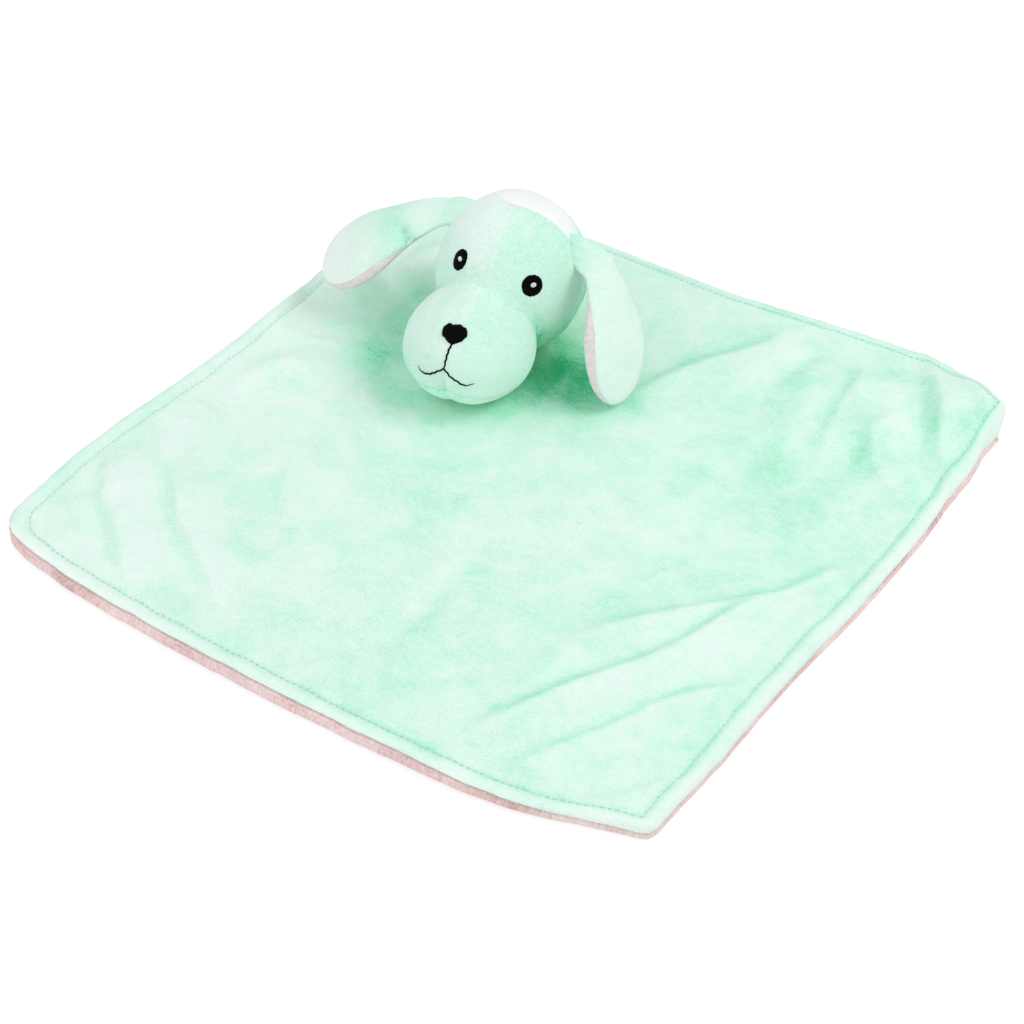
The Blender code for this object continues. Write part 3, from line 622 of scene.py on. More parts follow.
def blanket_tone_and_shadow(u, v):
    """The pile's tone on the blanket, paler at the left and front and deeper in the middle, with painted
    shadow under and round the head and ears."""
    places = flat_places(u, v)
    tone_and_lighting = 0.69 + 0.14 * step(-u + 0.25 * v, 0.0, 0.18)
    for x, y, radius, more in TONE_AND_SHADE_PATCHES:
        tone_and_lighting += more * near(u, v, x, y, radius)
    # Painted shadow of the head on the blanket, weaker in front of the muzzle, and painted shadow under the
    # ears.
    past_head = np.hypot(u / MM + 51, (v / MM - 52) / 1.45) - 31
    tone_and_lighting -= (0.15 + 0.29 * step(v, 0.02, 0.06)) * np.exp(-np.maximum(past_head, 0) / 5)
    tone_and_lighting -= 0.16 * near(u, v, 22, 68, 15) + 0.48 * near(u, v, -11, 76, 19)
    return tone_and_lighting + 0.11 * wander(places, 0.034, 22, 3) + 0.05 * wander(places * (1, 1.6, 1), 0.018, 23)


def slope_shade(u, v, z, at, row):
    """Painted light and shade by slope: the pile painted paler on slopes that face the light on the right,
    deeper on those that face away from it, and deeper still as painted shade in a valley."""
    grids = [np.zeros((TOP_ROWS, TOP_ROWS)) for _ in range(3)]
    for grid, values in zip(grids, (u, v, z)):
        grid[at[:, 0], at[:, 1]] = values
    along_x = np.gradient(grids[2], axis=0) / np.gradient(grids[0], axis=0)
    along_y = np.gradient(grids[2], axis=1) / np.gradient(grids[1], axis=1)
    wide = grids[2]
    for axis in (0, 1):
        wide = sum(np.roll(wide, k, axis) for k in range(-3, 4)) / 7
    below = np.clip((wide - grids[2]) / MM, -0.3, 1)
    lean = along_x / (1 + 0.9 * np.abs(along_x))
    shade = -0.46 * np.maximum(lean, -0.22) - 0.10 * np.clip(along_y, -0.5, 0.5) - 0.14 * below
    shade *= (0.5 + 0.5 * step(grids[0], -0.09, 0.03)) * (1 - 0.25 * step(grids[0] + grids[1], 0.16, 0.23))
    return np.where(row > len(RIM + BORDER), shade[at[:, 0], at[:, 1]], 0)


def followed(u, v):
    """How far the edge's seam follows the folds' lift; at the lifted corner the edge hangs down instead."""
    return np.maximum(lift_on_edge(u, v), 0) * (0.8 - 0.75 * near(u, v, *LIFTED_CORNER, 36))


def seam_at(u, v, drop):
    """How high the edge's seam lies at places on the table, with the folds and the hanging rim."""
    return np.maximum(seam_height(u, v) + followed(u, v) - 0.3 * drop, LOWEST_SEAM)


def pulled_in(x, y, u, v, by):
    """The places u, v moved in from the edges that the points x, y lie at, to give the rim its thickness."""
    u = u - by * np.sign(u) * (np.abs(x) > HALF - OUTERMOST)
    return u, v - by * np.sign(v) * (np.abs(y) > HALF - OUTERMOST)


def make_top(mint):
    """The mint panel: its rolled rim, the stitched groove inside it, the folds, and the pile's tone with
    painted light and shade.
    """
    insets = [inset * MM for inset, _ in RIM + BORDER]
    bm, x, y, row, inner, at = cloth_grid(insets, TOP_ROWS)
    inset, in_rim = inset_at(x, y), row < len(RIM)
    u, v, z = top_surface(x, y)
    drop = hung(x, y)[2]
    seam = seam_at(u, v, drop)
    share = by_row(row, [share for _, share in RIM], 1)
    crest = CREST + lift_on_edge(u, v) + puckers(u, v, inset) - drop
    z = np.where(in_rim, seam + share * (crest - seam), z)
    z = np.where(inner, np.maximum(z - TOP_PLUSH, seam + PANEL_GAP), z)
    z = np.where(inner & ~in_rim, np.minimum(z, crest - TOP_PLUSH - 0.2 * MM), z)
    u, v = pulled_in(x, y, u, v, np.where(inner & in_rim, TOP_RIM_SIDE, 0))
    v -= np.where(in_rim, tucked(x, y) * (1 - np.clip(share, 0, 1)), 0)
    move_to(bm, np.stack((u, v, z), 1))
    top = finished("blanket_top", bm, mint)
    outer = ~inner
    tone_and_lighting = blanket_tone_and_shadow(u, v)
    # Painted light and shade from the slope of the folds.
    tone_and_lighting[outer] += slope_shade(u[outer], v[outer], z[outer], at[outer], row[outer])
    # Painted light on the rim: a painted highlight on the right edge and painted shade on the left; the front
    # edge is paler and the back edge deeper.
    edge_x, edge_y = (step(np.abs(k), HALF - 6 * MM, HALF - 1 * MM) for k in (x, y))
    tone_and_lighting += edge_x * (0.06 + 0.20 * np.sign(x)) - edge_y * (0.16 * np.sign(y) - 0.04)
    # Painted shade along the stitched groove, darker on the right than on the left.
    tone_and_lighting -= (0.10 + 0.05 * np.sign(x)) * bell(inset - STITCH_INSET, 1.2 * MM)
    give(top, "tone_and_lighting", tone_and_lighting)
    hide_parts("blanket_top_panel")
    return top


def make_base(rose):
    """The rose panel: on the table or up under the folds, with a rim that rolls up to the seam."""
    insets = [inset * MM for inset, _ in UNDER_RIM] + [inset * MM for inset in UNDER_BORDER]
    bm, x, y, row, inner, _ = cloth_grid(insets, BASE_ROWS)
    in_rim = row < len(UNDER_RIM)
    share = by_row(row, SHELF, 0)
    in_x, in_y = drawn_in(x, y)
    hung_x, hung_y, drop = hung(x, y)
    u, v = on_table(hung_x + share * (in_x - hung_x), hung_y + share * (in_y - hung_y))
    seam = seam_at(u, v, drop) - 0.25 * MM
    share = by_row(row, [share for _, share in UNDER_RIM], 0)
    near_edge = 1 - step(inset_at(x, y), *NEAR_EDGE)
    lowered = 0.98 * near_edge * np.minimum(1.15 * near(x, y, *LIFTED_CORNER, 34), 1)
    under = np.maximum(lift_on_edge(u, v) - 1.2 * MM, 0) * (1 - lowered)
    v -= tucked(x, y) * near_edge
    z = np.where(in_rim, under + share * (seam - under), under)
    z = np.where(inner, np.minimum(z + BASE_RIM_PLUSH, seam - PANEL_GAP), z)
    z = np.where(inner & ~in_rim, under + BASE_PLUSH, z)
    u, v = pulled_in(x, y, u, v, np.where(inner & in_rim, BASE_RIM_SIDE, 0))
    move_to(bm, np.stack((u, v, np.maximum(z, 0)), 1))
    base = finished("blanket_base", bm, rose)
    give(base, "tone_and_lighting", 0.5 + 0.25 * wander(flat_places(u, v), 0.03, 31, 3))
    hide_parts("blanket_base_panel")
    return base


def make_blanket(mint, rose, thread):
    top, base = make_top(mint), make_base(rose)
    stitches, seam_thread = make_topstitch(thread), make_edge_seam(thread)
    for obj in (top, base, stitches, seam_thread):
        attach(obj, "blanket")


def how_far(points):
    """How far along a line each of its points lies."""
    return np.concatenate(([0], np.cumsum(np.linalg.norm(np.diff(points, axis=0), axis=1))))


def read_at(spots, before, points):
    """A line's points at the given distances along it."""
    return np.stack([np.interp(spots, before, points[:, k]) for k in range(3)], 1)


def evenly(points, count):
    """A closed line's points, taken again at even distances."""
    closed = np.vstack((points, points[:1]))
    before = how_far(closed)
    return read_at(np.linspace(0, before[-1], count, endpoint=False), before, closed)


def edge_loop(inset):
    """Close points of the plain square at a distance inside its edge, all the way round."""
    xs, ys = [], []
    for side_x, side_y, first in ((1, -1, 1), (1, 1, 0), (-1, 1, 1), (-1, -1, 0)):
        radius = CORNER_RADII[side_x, side_y]
        if radius > inset:
            turn = np.linspace(0, math.pi / 2, 40)
            a, b, share = np.cos(turn), np.sin(turn), 1 - inset / radius
            ab = np.maximum(a * a * b * b, 1e-9)
            k = np.sqrt((1 - np.sqrt(1 - 4 * ab * share * share)) / (2 * ab))
            px, py = HALF - radius + radius * a * k, HALF - radius + radius * b * k
        else:
            px = py = np.array((HALF - inset,))
        order = slice(None, None, -1) if first else slice(None)
        xs.append(side_x * px[order])
        ys.append(side_y * py[order])
    return evenly(flat_places(np.concatenate(xs), np.concatenate(ys)), LOOP_POINTS)[:, :2].T


def bead(bm, centre, way, up, size, roundness=1):
    """A small rounded stitch lying along way."""
    side = way.cross(up).normalized()
    turn = Matrix((way, side, side.cross(way))).transposed().to_4x4()
    scale = Matrix.Diagonal((size[0] / 2, size[1] / 2, size[2] / 2, 1))
    place = Matrix.Translation(centre) @ turn @ scale
    bmesh.ops.create_icosphere(bm, subdivisions=roundness, radius=1, matrix=place)


def make_topstitch(thread):
    points = [Vector(p) for p in evenly(np.stack(top_surface(*edge_loop(STITCH_INSET)), 1), STITCHES)]
    up = Vector((0, 0, 1))
    bm = bmesh.new()
    for i, p in enumerate(points):
        way = (points[(i + 1) % len(points)] - points[i - 1]).normalized()
        bead(bm, p + up * 0.05 * MM, way, up, STITCH_SIZE)
    obj = finished("edge_stitches", bm, thread)
    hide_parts("edge_topstitch")
    return obj


def make_edge_seam(thread):
    """A round thread along the seam, as a curve turned into a mesh."""
    x, y = edge_loop(SEAM_INSET)
    u, v = on_table(*drawn_in(x, y))
    points = evenly(np.stack((u, v - tucked(x, y), seam_at(u, v, hung(x, y)[2])), 1), SEAM_POINTS)
    curve = bpy.data.curves.new("edge_seam", "CURVE")
    curve.dimensions, curve.bevel_depth, curve.bevel_resolution = "3D", 0.25 * MM, 1
    spline = curve.splines.new("POLY")
    spline.points.add(len(points) - 1)
    for spot, p in zip(spline.points, points):
        spot.co = (*p, 1)
    spline.use_cyclic_u = True
    holder = linked("edge_seam_path", curve)
    mesh = bpy.data.meshes.new_from_object(holder.evaluated_get(bpy.context.evaluated_depsgraph_get()))
    bpy.data.objects.remove(holder)
    bm = bmesh.new()
    bm.from_mesh(mesh)
    bpy.data.meshes.remove(mesh)
    obj = finished("edge_seam", bm, thread)
    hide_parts("edge_seam_thread")
    return obj


# The head, in its own frame: X to the puppy's left, -Y forward, its origin at the neck on the blanket

NECK_PLACE = Vector((-0.057757, 0.083398, 0.006))
HEAD = Matrix.Translation(NECK_PLACE) @ Matrix.Rotation(math.radians(10), 4, "Z")
SKULL = np.array((0.036, 0.0385, 0.0395))
SKULL_CENTRE = np.array((0, 0, 0.03734))
MUZZLE = np.array((0.031, 0.032, 0.0263))
MUZZLE_CENTRE = np.array((-0.0022, -0.0443, 0.02668))
MUZZLE_SLOPE = 0.002
MUZZLE_TAPER = 0.10
MUZZLE_MIDLINE = 0.030
CHIN_SEAM = -0.254
CHIN_DROOP = 0.5
FOREHEAD_LEAN = 0.045
HEAD_PLUSH, EAR_PLUSH = 1.3 * MM, 1.1 * MM
CUT_GAP = 0.02 * MM
BURIED = 3.0 * MM
LOWEST_HEAD = 0.25 * MM


def to_world(places):
    turn = np.array(HEAD.to_3x3())
    return places @ turn.T + np.array(NECK_PLACE)


def beyond(q, size):
    """About how far points lie outside a rounded shape, from their places off its centre and their sizes,
    which are 1 on its skin."""
    return np.linalg.norm(q, axis=1) * (1 - 1 / np.maximum(size, 1e-3))


def skull_distance(p):
    q = p - SKULL_CENTRE
    return beyond(q, np.linalg.norm(q / SKULL, axis=1))


def muzzle_distance(p):
    q = p - MUZZLE_CENTRE
    y = q[:, 1] / MUZZLE[1]
    z = (q[:, 2] - y * MUZZLE_SLOPE) / MUZZLE[2]
    x = q[:, 0] / (MUZZLE[0] * (1 - MUZZLE_TAPER * np.clip(z, -1.5, 1.5)))
    return beyond(q, np.sqrt(x * x + y * y + z * z))


def muzzle_place(ways):
    x, y, z = ways.T
    wide = MUZZLE[0] * (1 - MUZZLE_TAPER * z)
    return MUZZLE_CENTRE + np.stack((x * wide, y * MUZZLE[1], z * MUZZLE[2] + y * MUZZLE_SLOPE), 1)


def skull_place(ways):
    return SKULL_CENTRE + ways * SKULL


def fillet(places):
    """How soft the valley between muzzle and skull is: wide over the bridge, tighter on the cheeks."""
    return (3.2 + 3.4 * bell(places[:, 0] + 1.5 * MM, 14 * MM)) * MM


def raised(places, ways_out, other):
    """How far points must move along their ways out to reach the blended shape of skull and muzzle."""
    soft = fillet(places)
    t = np.zeros(len(places))
    for _ in range(12):
        away = other(places + ways_out * t[:, None])
        h = np.maximum(soft - np.abs(t - away), 0) / soft
        t -= 0.8 * (np.minimum(t, away) - h * h * soft / 4)
    return t


def ways_out_of(place, ways):
    """Unit normals of a rounded shape at its ways, by small steps."""
    tiny = 1e-4
    a = unit(np.cross(ways, np.array((0.3, 0.5, 0.8))))
    b = np.cross(ways, a)
    along_a, along_b = (place(unit(ways + k * tiny)) - place(unit(ways - k * tiny)) for k in (a, b))
    n = unit(np.cross(along_a, along_b))
    return n * np.sign((n * ways).sum(1))[:, None]


def crown_line(x):
    """How far back the crown seam runs: a little behind the ears, and further over the puppy's right."""
    return 0.12 * np.abs(x) + 0.22 * bell(x + 0.38, 0.20)


def seam_dip(distance, depth, width=1.6 * MM):
    return depth * bell(distance, width)


def seam_round(distance):
    """How far the plush is drawn in where it meets the head's other shape, from which it lies at the given
    distance, and where it goes under it."""
    return 0.5 * MM * step(-distance, 0.3 * MM, 3 * MM) + seam_dip(distance, 0.45 * MM, 1.2 * MM)


def skull_skin(ways, depth=0.0):
    """The plush over the skull, drawn in at the seams; depth goes inwards."""
    p = skull_place(ways)
    n = ways_out_of(skull_place, ways)
    t = raised(p, n, muzzle_distance) - seam_round(muzzle_distance(p))
    forward = np.clip(-ways[:, 1], 0, 1)
    off_midline = (ways[:, 0] - FOREHEAD_LEAN * forward) * SKULL[0]
    front = ways[:, 1] < crown_line(ways[:, 0])
    strength = 0.32 * step(ways[:, 2], 0.80, 0.98) + 0.03
    t -= np.where(front, seam_dip(off_midline, MM * strength), 0)
    off_crown = (ways[:, 1] - crown_line(ways[:, 0])) * SKULL[1]
    t -= seam_dip(off_crown, 0.5 * MM)
    t += 0.45 * MM * wander(p, 0.016, 41) + 0.12 * MM * wander(p, 0.005, 42)
    return p + n * (t - depth)[:, None]


def chin_line(x):
    """How high the chin seam runs, drooping at the sides."""
    return CHIN_SEAM - CHIN_DROOP * x ** 2


def muzzle_skin(ways, depth=0.0):
    """The plush over the muzzle, drawn in at its middle seam and the chin seam."""
    p = muzzle_place(ways)
    n = ways_out_of(muzzle_place, ways)
    t = raised(p, n, skull_distance) - seam_round(skull_distance(p))
    off_middle = (ways[:, 0] - MUZZLE_MIDLINE) * MUZZLE[0]
    low = step(-ways[:, 2], -0.35, 0.05)
    t -= seam_dip(off_middle, MM * (0.05 + 0.75 * low), 1.8 * MM)
    t -= seam_dip(off_middle, 0.7 * MM * low, 6 * MM)
    t -= seam_dip((ways[:, 2] - chin_line(ways[:, 0])) * MUZZLE[2], 0.7 * MM, 1.2 * MM)
    t += 0.4 * MM * wander(p, 0.015, 43) + 0.12 * MM * wander(p, 0.005, 44)
    return p + n * (t - depth)[:, None]


def ball(across, up):
    bm = bmesh.new()
    bmesh.ops.create_uvsphere(bm, u_segments=across, v_segments=up, radius=1)
    return bm


def drop_faces(bm, hidden):
    """Deletes the faces whose corners are all hidden."""
    bm.verts.ensure_lookup_table()
    gone = [f for f in bm.faces if all(hidden[v.index] for v in f.verts)]
    bmesh.ops.delete(bm, geom=gone, context="FACES")
    bmesh.ops.delete(bm, geom=[v for v in bm.verts if not v.link_faces], context="VERTS")


def panel(name, bm, place, skin, distance, tone_and_lighting, mat):
    """A plush panel from a cut piece of the unit ball, laid on the skin and given its thickness. It leaves
    out what lies deep inside the head's other shape, whose distance is given."""
    bm.verts.index_update()
    drop_faces(bm, distance(place(places_of(bm))) < -BURIED)
    inner = two_faced(bm)
    ways = unit(places_of(bm))
    p = skin(ways, np.where(inner, HEAD_PLUSH, 0.0))
    p[:, 2] = np.maximum(p[:, 2], LOWEST_HEAD)
    move_to(bm, to_world(p))
    obj = finished(name, bm, mat)
    give(obj, "tone_and_lighting", tone_and_lighting(ways, p))
    return obj


def tone_and_shade_patch(p, x, z, radius, more):
    return more * np.exp(-((p[:, 0] - x * MM) ** 2 + (p[:, 2] - z * MM) ** 2) / (radius * MM) ** 2)


def join_shade_falloff(distance, radius):
    """1 where the plush meets the head's other shape, fading to 0 away from it, for the painted shade in that
    join; the radius is in millimetres."""
    return bell(np.maximum(distance, 0), radius * MM)


def skull_tone_and_lighting(ways, p):
    """The skull's tone: pale on the puppy's right, deeper on its left and paler over the top, with a painted
    highlight that makes it almost white high up behind, and painted shade low down, under the ears and where
    the muzzle and the neck meet it."""
    midline = (ways[:, 0] - FOREHEAD_LEAN * np.clip(-ways[:, 1], 0, 1)) * SKULL[0] - 2 * MM
    soft = (1.0 + 5.0 * step(-ways[:, 2], -0.9, -0.6)) * MM
    tone_and_lighting = 0.61 + 0.06 * (1 - step(midline, -soft, soft))
    tone_and_lighting += tone_and_shade_patch(p, 22, 30, 12, 0.20) + tone_and_shade_patch(p, 8, 45, 9, 0.10)
    past_crown = ways[:, 1] - crown_line(ways[:, 0])
    behind, far_behind = step(past_crown, -0.001, 0.001), step(past_crown, 0.45, 0.85)
    top = step(p[:, 2], 0.054, 0.070) * (1 - 0.95 * step(midline, -4 * MM, 4 * MM))
    tone_and_lighting += 0.22 * top * (1 - behind)
    # Behind the crown: painted shade low down and under the ears, and a painted highlight that makes the top
    # almost white.
    low = 0.28 + 0.40 * far_behind
    tone_and_lighting = np.where(behind > 0.5, low + (0.92 - low) * step(p[:, 2], 0.050, 0.066), tone_and_lighting)
    # Painted shade where the muzzle meets the skull, and low on the skull near the blanket.
    off = muzzle_distance(p)
    tone_and_lighting -= 0.35 * join_shade_falloff(off, 4) * step(-p[:, 2], -0.046, -0.030) + 0.12 * join_shade_falloff(off, 5)
    tone_and_lighting -= 0.34 * step(-p[:, 2], -0.046, -0.012) * (1 - 0.5 * far_behind)
    return tone_and_lighting + 0.05 * wander(p, 0.012, 51)


def muzzle_tone_and_shade(ways, p):
    """The muzzle's and chin's tone: paler on the puppy's right, with painted shade at its seams, on its lower
    left and low down near the blanket.
    """
    midline = (ways[:, 0] - 0.16) * MUZZLE[0]
    tone_and_lighting = 0.64 + 0.07 * (1 - step(midline, -2.2 * MM, 2.2 * MM))
    tone_and_lighting += tone_and_shade_patch(p, 14, 16, 9, 0.2) + tone_and_shade_patch(p, 12, 30, 8, 0.06)
    # Painted shade on the lower left, where the muzzle meets the skull, low down near the blanket, at and
    # below the chin seam, and along the lower middle seam.
    tone_and_lighting -= tone_and_shade_patch(p, -24, 20, 11, 0.14)
    tone_and_lighting -= 0.22 * join_shade_falloff(skull_distance(p), 3) * step(-p[:, 2], -0.044, -0.034)
    tone_and_lighting -= 0.40 * step(-p[:, 2], -0.009, -0.001)
    over_chin = ways[:, 2] - chin_line(ways[:, 0])
    tone_and_lighting -= 0.10 * step(-over_chin, -0.02, 0.02) + 0.26 * bell(over_chin, 0.035)
    tone_and_lighting -= 0.25 * step(-ways[:, 2], -0.3, 0.0) * bell(ways[:, 0] - MUZZLE_MIDLINE, 0.03)
    return tone_and_lighting + 0.07 * wander(p, 0.012, 52)


def cut_along(bm, axis, line, side, gap):
    """Cuts where the given coordinate follows a line over X; side 1 keeps what lies beyond the line, and -1
    keeps what lies before it."""
    ways = places_of(bm)
    ways[:, axis] -= line(ways[:, 0])
    move_to(bm, ways)
    keep_side(bm, [side * (k == axis) for k in range(3)], gap)
    ways = places_of(bm)
    ways[:, axis] += line(ways[:, 0])
    move_to(bm, ways)


def skull_panel(name, mat, side, *cad):
    """A panel of the skull: one half of the forehead for side 1 or -1, or for side 0 all that lies behind."""
    bm = ball(112, 64)
    if side:
        keep_side(bm, (side, side * FOREHEAD_LEAN, 0), CUT_GAP / SKULL[0])
    cut_along(bm, 1, crown_line, -1 if side else 1, CUT_GAP / SKULL[1])
    obj = panel(name, bm, skull_place, skull_skin, muzzle_distance, skull_tone_and_lighting, mat)
    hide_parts(*cad)
    return obj


def muzzle_panel(name, mat, side, *cad):
    """A panel of the muzzle: one half of its top for side 1 or -1, or for side 0 the chin."""
    bm = ball(96, 60)
    if side:
        keep_side(bm, (side, 0, 0), side * MUZZLE_MIDLINE + CUT_GAP / MUZZLE[0])
    cut_along(bm, 2, chin_line, 1 if side else -1, CUT_GAP / MUZZLE[2])
    obj = panel(name, bm, muzzle_place, muzzle_skin, skull_distance, muzzle_tone_and_shade, mat)
    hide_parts(*cad)
    return obj


def make_head(light_mint, deep_mint, back_mint_highlit, mint):
    pieces = (
        skull_panel("face_left", deep_mint, 1, "face_panel_left"),
        skull_panel("face_right", light_mint, -1, "face_panel_right"),
        skull_panel("head_back", back_mint_highlit, 0, "head_back_panel", "head_stuffing", "crown_seam_thread",
                    "forehead_seam_thread"),
        muzzle_panel("muzzle_left", deep_mint, 1, "muzzle_panel_left"),
        muzzle_panel("muzzle_right", light_mint, -1, "muzzle_panel_right"),
        muzzle_panel("chin", mint, 0, "chin_panel", "muzzle_stuffing", "muzzle_seam_thread",
                     "chin_seam_thread"),
    )
    for obj in pieces:
        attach(obj, "head")


# Embroidery

STITCH_LENGTH = 2.4 * MM
STITCH_STEP = STITCH_LENGTH * 0.62
SUNK, LIFTED = 0.5 * MM, -0.12 * MM
# Half width, half height and rise of the white stitches in the eyes, in millimetres
HIGHLIGHT = (1.5, 1.25, 1.15)


def sides_of(middle):
    """The way out to a middle, with the ways sideways and up across it."""
    out = Vector(middle).normalized()
    side = Vector((0, 0, 1)).cross(out).normalized()
    return out, side, out.cross(side)


def patch(name, middle, radii, skin, rise, mat, edge=None, ragged=0.03, seed=1, tilt=0.0):
    """A satin-stitched patch on the skin round the way out to its middle: domed, its edge a little ragged."""
    bm = bmesh.new()
    bmesh.ops.create_grid(bm, x_segments=30, y_segments=30, size=1)
    inner = two_faced(bm)
    flat = places_of(bm)
    a, b = flat[:, 0], flat[:, 1]
    u, w = a * np.sqrt(1 - b * b / 2), b * np.sqrt(1 - a * a / 2)
    angle, radius = np.arctan2(w, u), np.hypot(u, w)
    fill = edge(angle) if edge else np.ones_like(angle)
    ring = flat_places(np.cos(angle), np.sin(angle))
    fill = fill * (1 + ragged * wander(ring, 0.16, seed))
    out, side, up = (np.array(way) for way in sides_of(middle))
    turned_u = u * math.cos(tilt) - w * math.sin(tilt)
    turned_w = u * math.sin(tilt) + w * math.cos(tilt)
    ways = unit(out + np.outer(turned_u * fill * radii[0], side) + np.outer(turned_w * fill * radii[1], up))
    dome = rise * np.sqrt(np.maximum(1 - radius ** 4, 0)) * (1 + 0.12 * wander(flat, 0.2, seed + 1))
    p = skin(ways, np.where(inner, SUNK, -dome))
    move_to(bm, to_world(p))
    return finished(name, bm, mat)


NOSE_MIDDLE = (0.057, -0.610, 0.770)
NOSE_CORNERS = (
    (-0.149, -0.633, 0.760), (-0.167, -0.583, 0.795), (-0.111, -0.551, 0.827), (0.016, -0.523, 0.852),
    (0.134, -0.511, 0.849), (0.225, -0.535, 0.815), (0.264, -0.580, 0.771), (0.224, -0.662, 0.715),
    (0.132, -0.725, 0.676), (0.077, -0.754, 0.652), (-0.019, -0.734, 0.678),
)


def nose_edge(angle):
    """How far out the rounded triangle's edge lies at each angle, wide at the top and narrow below."""
    out, side, up = sides_of(NOSE_MIDDLE)
    spots = [(Vector(c) / Vector(c).dot(out)) for c in NOSE_CORNERS]
    known = sorted((math.atan2(c.dot(up), c.dot(side)), math.hypot(c.dot(up), c.dot(side))) for c in spots)
    turns, far = np.array(known).T
    apart = np.angle(np.exp(1j * (angle[:, None] - turns[None])))
    weights = bell(apart, 0.28)
    return (weights * far).sum(1) / weights.sum(1) * 1.02


def stitch_line(name, points, width, mat, ends):
    """Back stitches along ways on the muzzle: short threads that overlap, thinner towards the ends."""
    ways = unit(np.array(points, float))
    before = how_far(muzzle_skin(ways))
    count = max(2, round(before[-1] / STITCH_STEP))
    way_at = unit(read_at(np.linspace(0, before[-1], count + 1), before, ways))
    lifted, under = (to_world(muzzle_skin(way_at, depth)) for depth in (LIFTED, SUNK))
    bm = bmesh.new()
    for i in range(count):
        a, b = Vector(lifted[i]), Vector(lifted[i + 1])
        up = (a - Vector(under[i])).normalized()
        share = i / max(1, count - 1)
        thin_start = ends[0] + (1 - ends[0]) * min(1, 3 * share)
        thin_end = ends[1] + (1 - ends[1]) * min(1, 3 * (1 - share))
        wide = width * thin_start * thin_end
        sideways = (b - a).cross(up).normalized() * (0.12 * MM * (-1) ** i)
        way = (b - a).normalized() + sideways / STITCH_LENGTH
        bead(bm, (a + b) / 2 + sideways, way.normalized(), up, ((b - a).length * 1.5, wide, wide * 0.8), 2)
    return finished(name, bm, mat)


def make_face(black, white):
    pieces = []
    for name, cad, way, (wide, high, rise), mat, ragged, seed, tilt in (
        ("eye_left_patch", "eye_left", (0.601, -0.684, 0.411), (5, 5.2, 0.75), black, 0.05, 3, 0),
        ("eye_right_patch", "eye_right", (-0.389, -0.734, 0.556), (4.2, 5.4, 0.75), black, 0.05, 5, 0.28),
        ("highlight_left_patch", "eye_highlight_left", (0.608, -0.674, 0.421), HIGHLIGHT, white, 0.2, 7, 0),
        ("highlight_right_patch", "eye_highlight_right", (-0.375, -0.733, 0.567), HIGHLIGHT, white, 0.2, 9,
         0),
    ):
        radii = (wide * MM / SKULL[0], high * MM / SKULL[2])
        obj = patch(name, way, radii, skull_skin, rise * MM, mat, ragged=ragged, seed=seed, tilt=tilt)
        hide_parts(cad)
        pieces.append(obj)
    nose = patch("nose_patch", NOSE_MIDDLE, (1, 1), muzzle_skin, 1.3 * MM, black, nose_edge, 0.04, 11)
    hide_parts("nose")
    lip = stitch_line("philtrum_line", (
        (0.077, -0.735, 0.672), (0.049, -0.805, 0.592), (0.040, -0.877, 0.480), (0.033, -0.921, 0.388),
        (0.033, -0.957, 0.289),
    ), 1.0 * MM, black, (1, 0.8))
    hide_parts("philtrum_stitch")
    one_side = (
        (0.033, -0.957, 0.289), (-0.061, -0.973, 0.225), (-0.158, -0.978, 0.138), (-0.247, -0.966, 0.082),
        (-0.364, -0.929, 0.071), (-0.430, -0.894, 0.126),
    )
    other_side = (
        (0.033, -0.957, 0.289), (0.140, -0.976, 0.168), (0.262, -0.961, 0.088), (0.332, -0.943, 0.030),
        (0.415, -0.909, 0.029), (0.482, -0.874, 0.064),
    )
    mouth = join("mouth_line", [
        stitch_line("mouth_a", one_side, 0.95 * MM, black, (1, 0.3)),
        stitch_line("mouth_b", other_side, 0.9 * MM, black, (1, 0.3)),
    ])
    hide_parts("mouth_stitch")
    for obj in (*pieces, nose, lip, mouth):
        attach(obj, "head")


def join(name, objects):
    bm = bmesh.new()
    for o in objects:
        bm.from_mesh(o.data)
    mat = objects[0].data.materials[0]
    for o in objects:
        bpy.data.objects.remove(o)
    return finished(name, bm, mat)


# Ears

EAR_LENGTH, EAR_WIDTH, EAR_THICKNESS = 0.080, 0.037, 0.010
EAR_WIDTHS = (0.64, 0.59, 0.73, 1.16, 1.52)
EAR_THICKNESSES = (0.9, 0.8, 0.95, 1.1, 1.15)
EAR_BEND = 0.027
LOWEST_EAR = 2.2 * MM
EAR_LEFT_HINGE = (-0.027341, 0.092914, 0.063521)
EAR_RIGHT_HINGE = (-0.086372, 0.082506, 0.068634)


def towards(side, rise, swing):
    """A unit vector to one side of the head, raised and swung forward by the given degrees."""
    rise, swing = math.radians(rise), math.radians(swing)
    return np.array((
        side * math.cos(rise) * math.cos(swing), -math.cos(rise) * math.sin(swing), math.sin(rise)))


def seam_shift(x, ring, z, side):
    """How far towards the plush side the seam lies: at the root the plush wraps both edges, and towards the
    tip the lining wraps one of them."""
    tip = step(z, -0.15, 0.45)
    return 0.6 * tip * side * x - 0.22 * (1 - tip) * ring


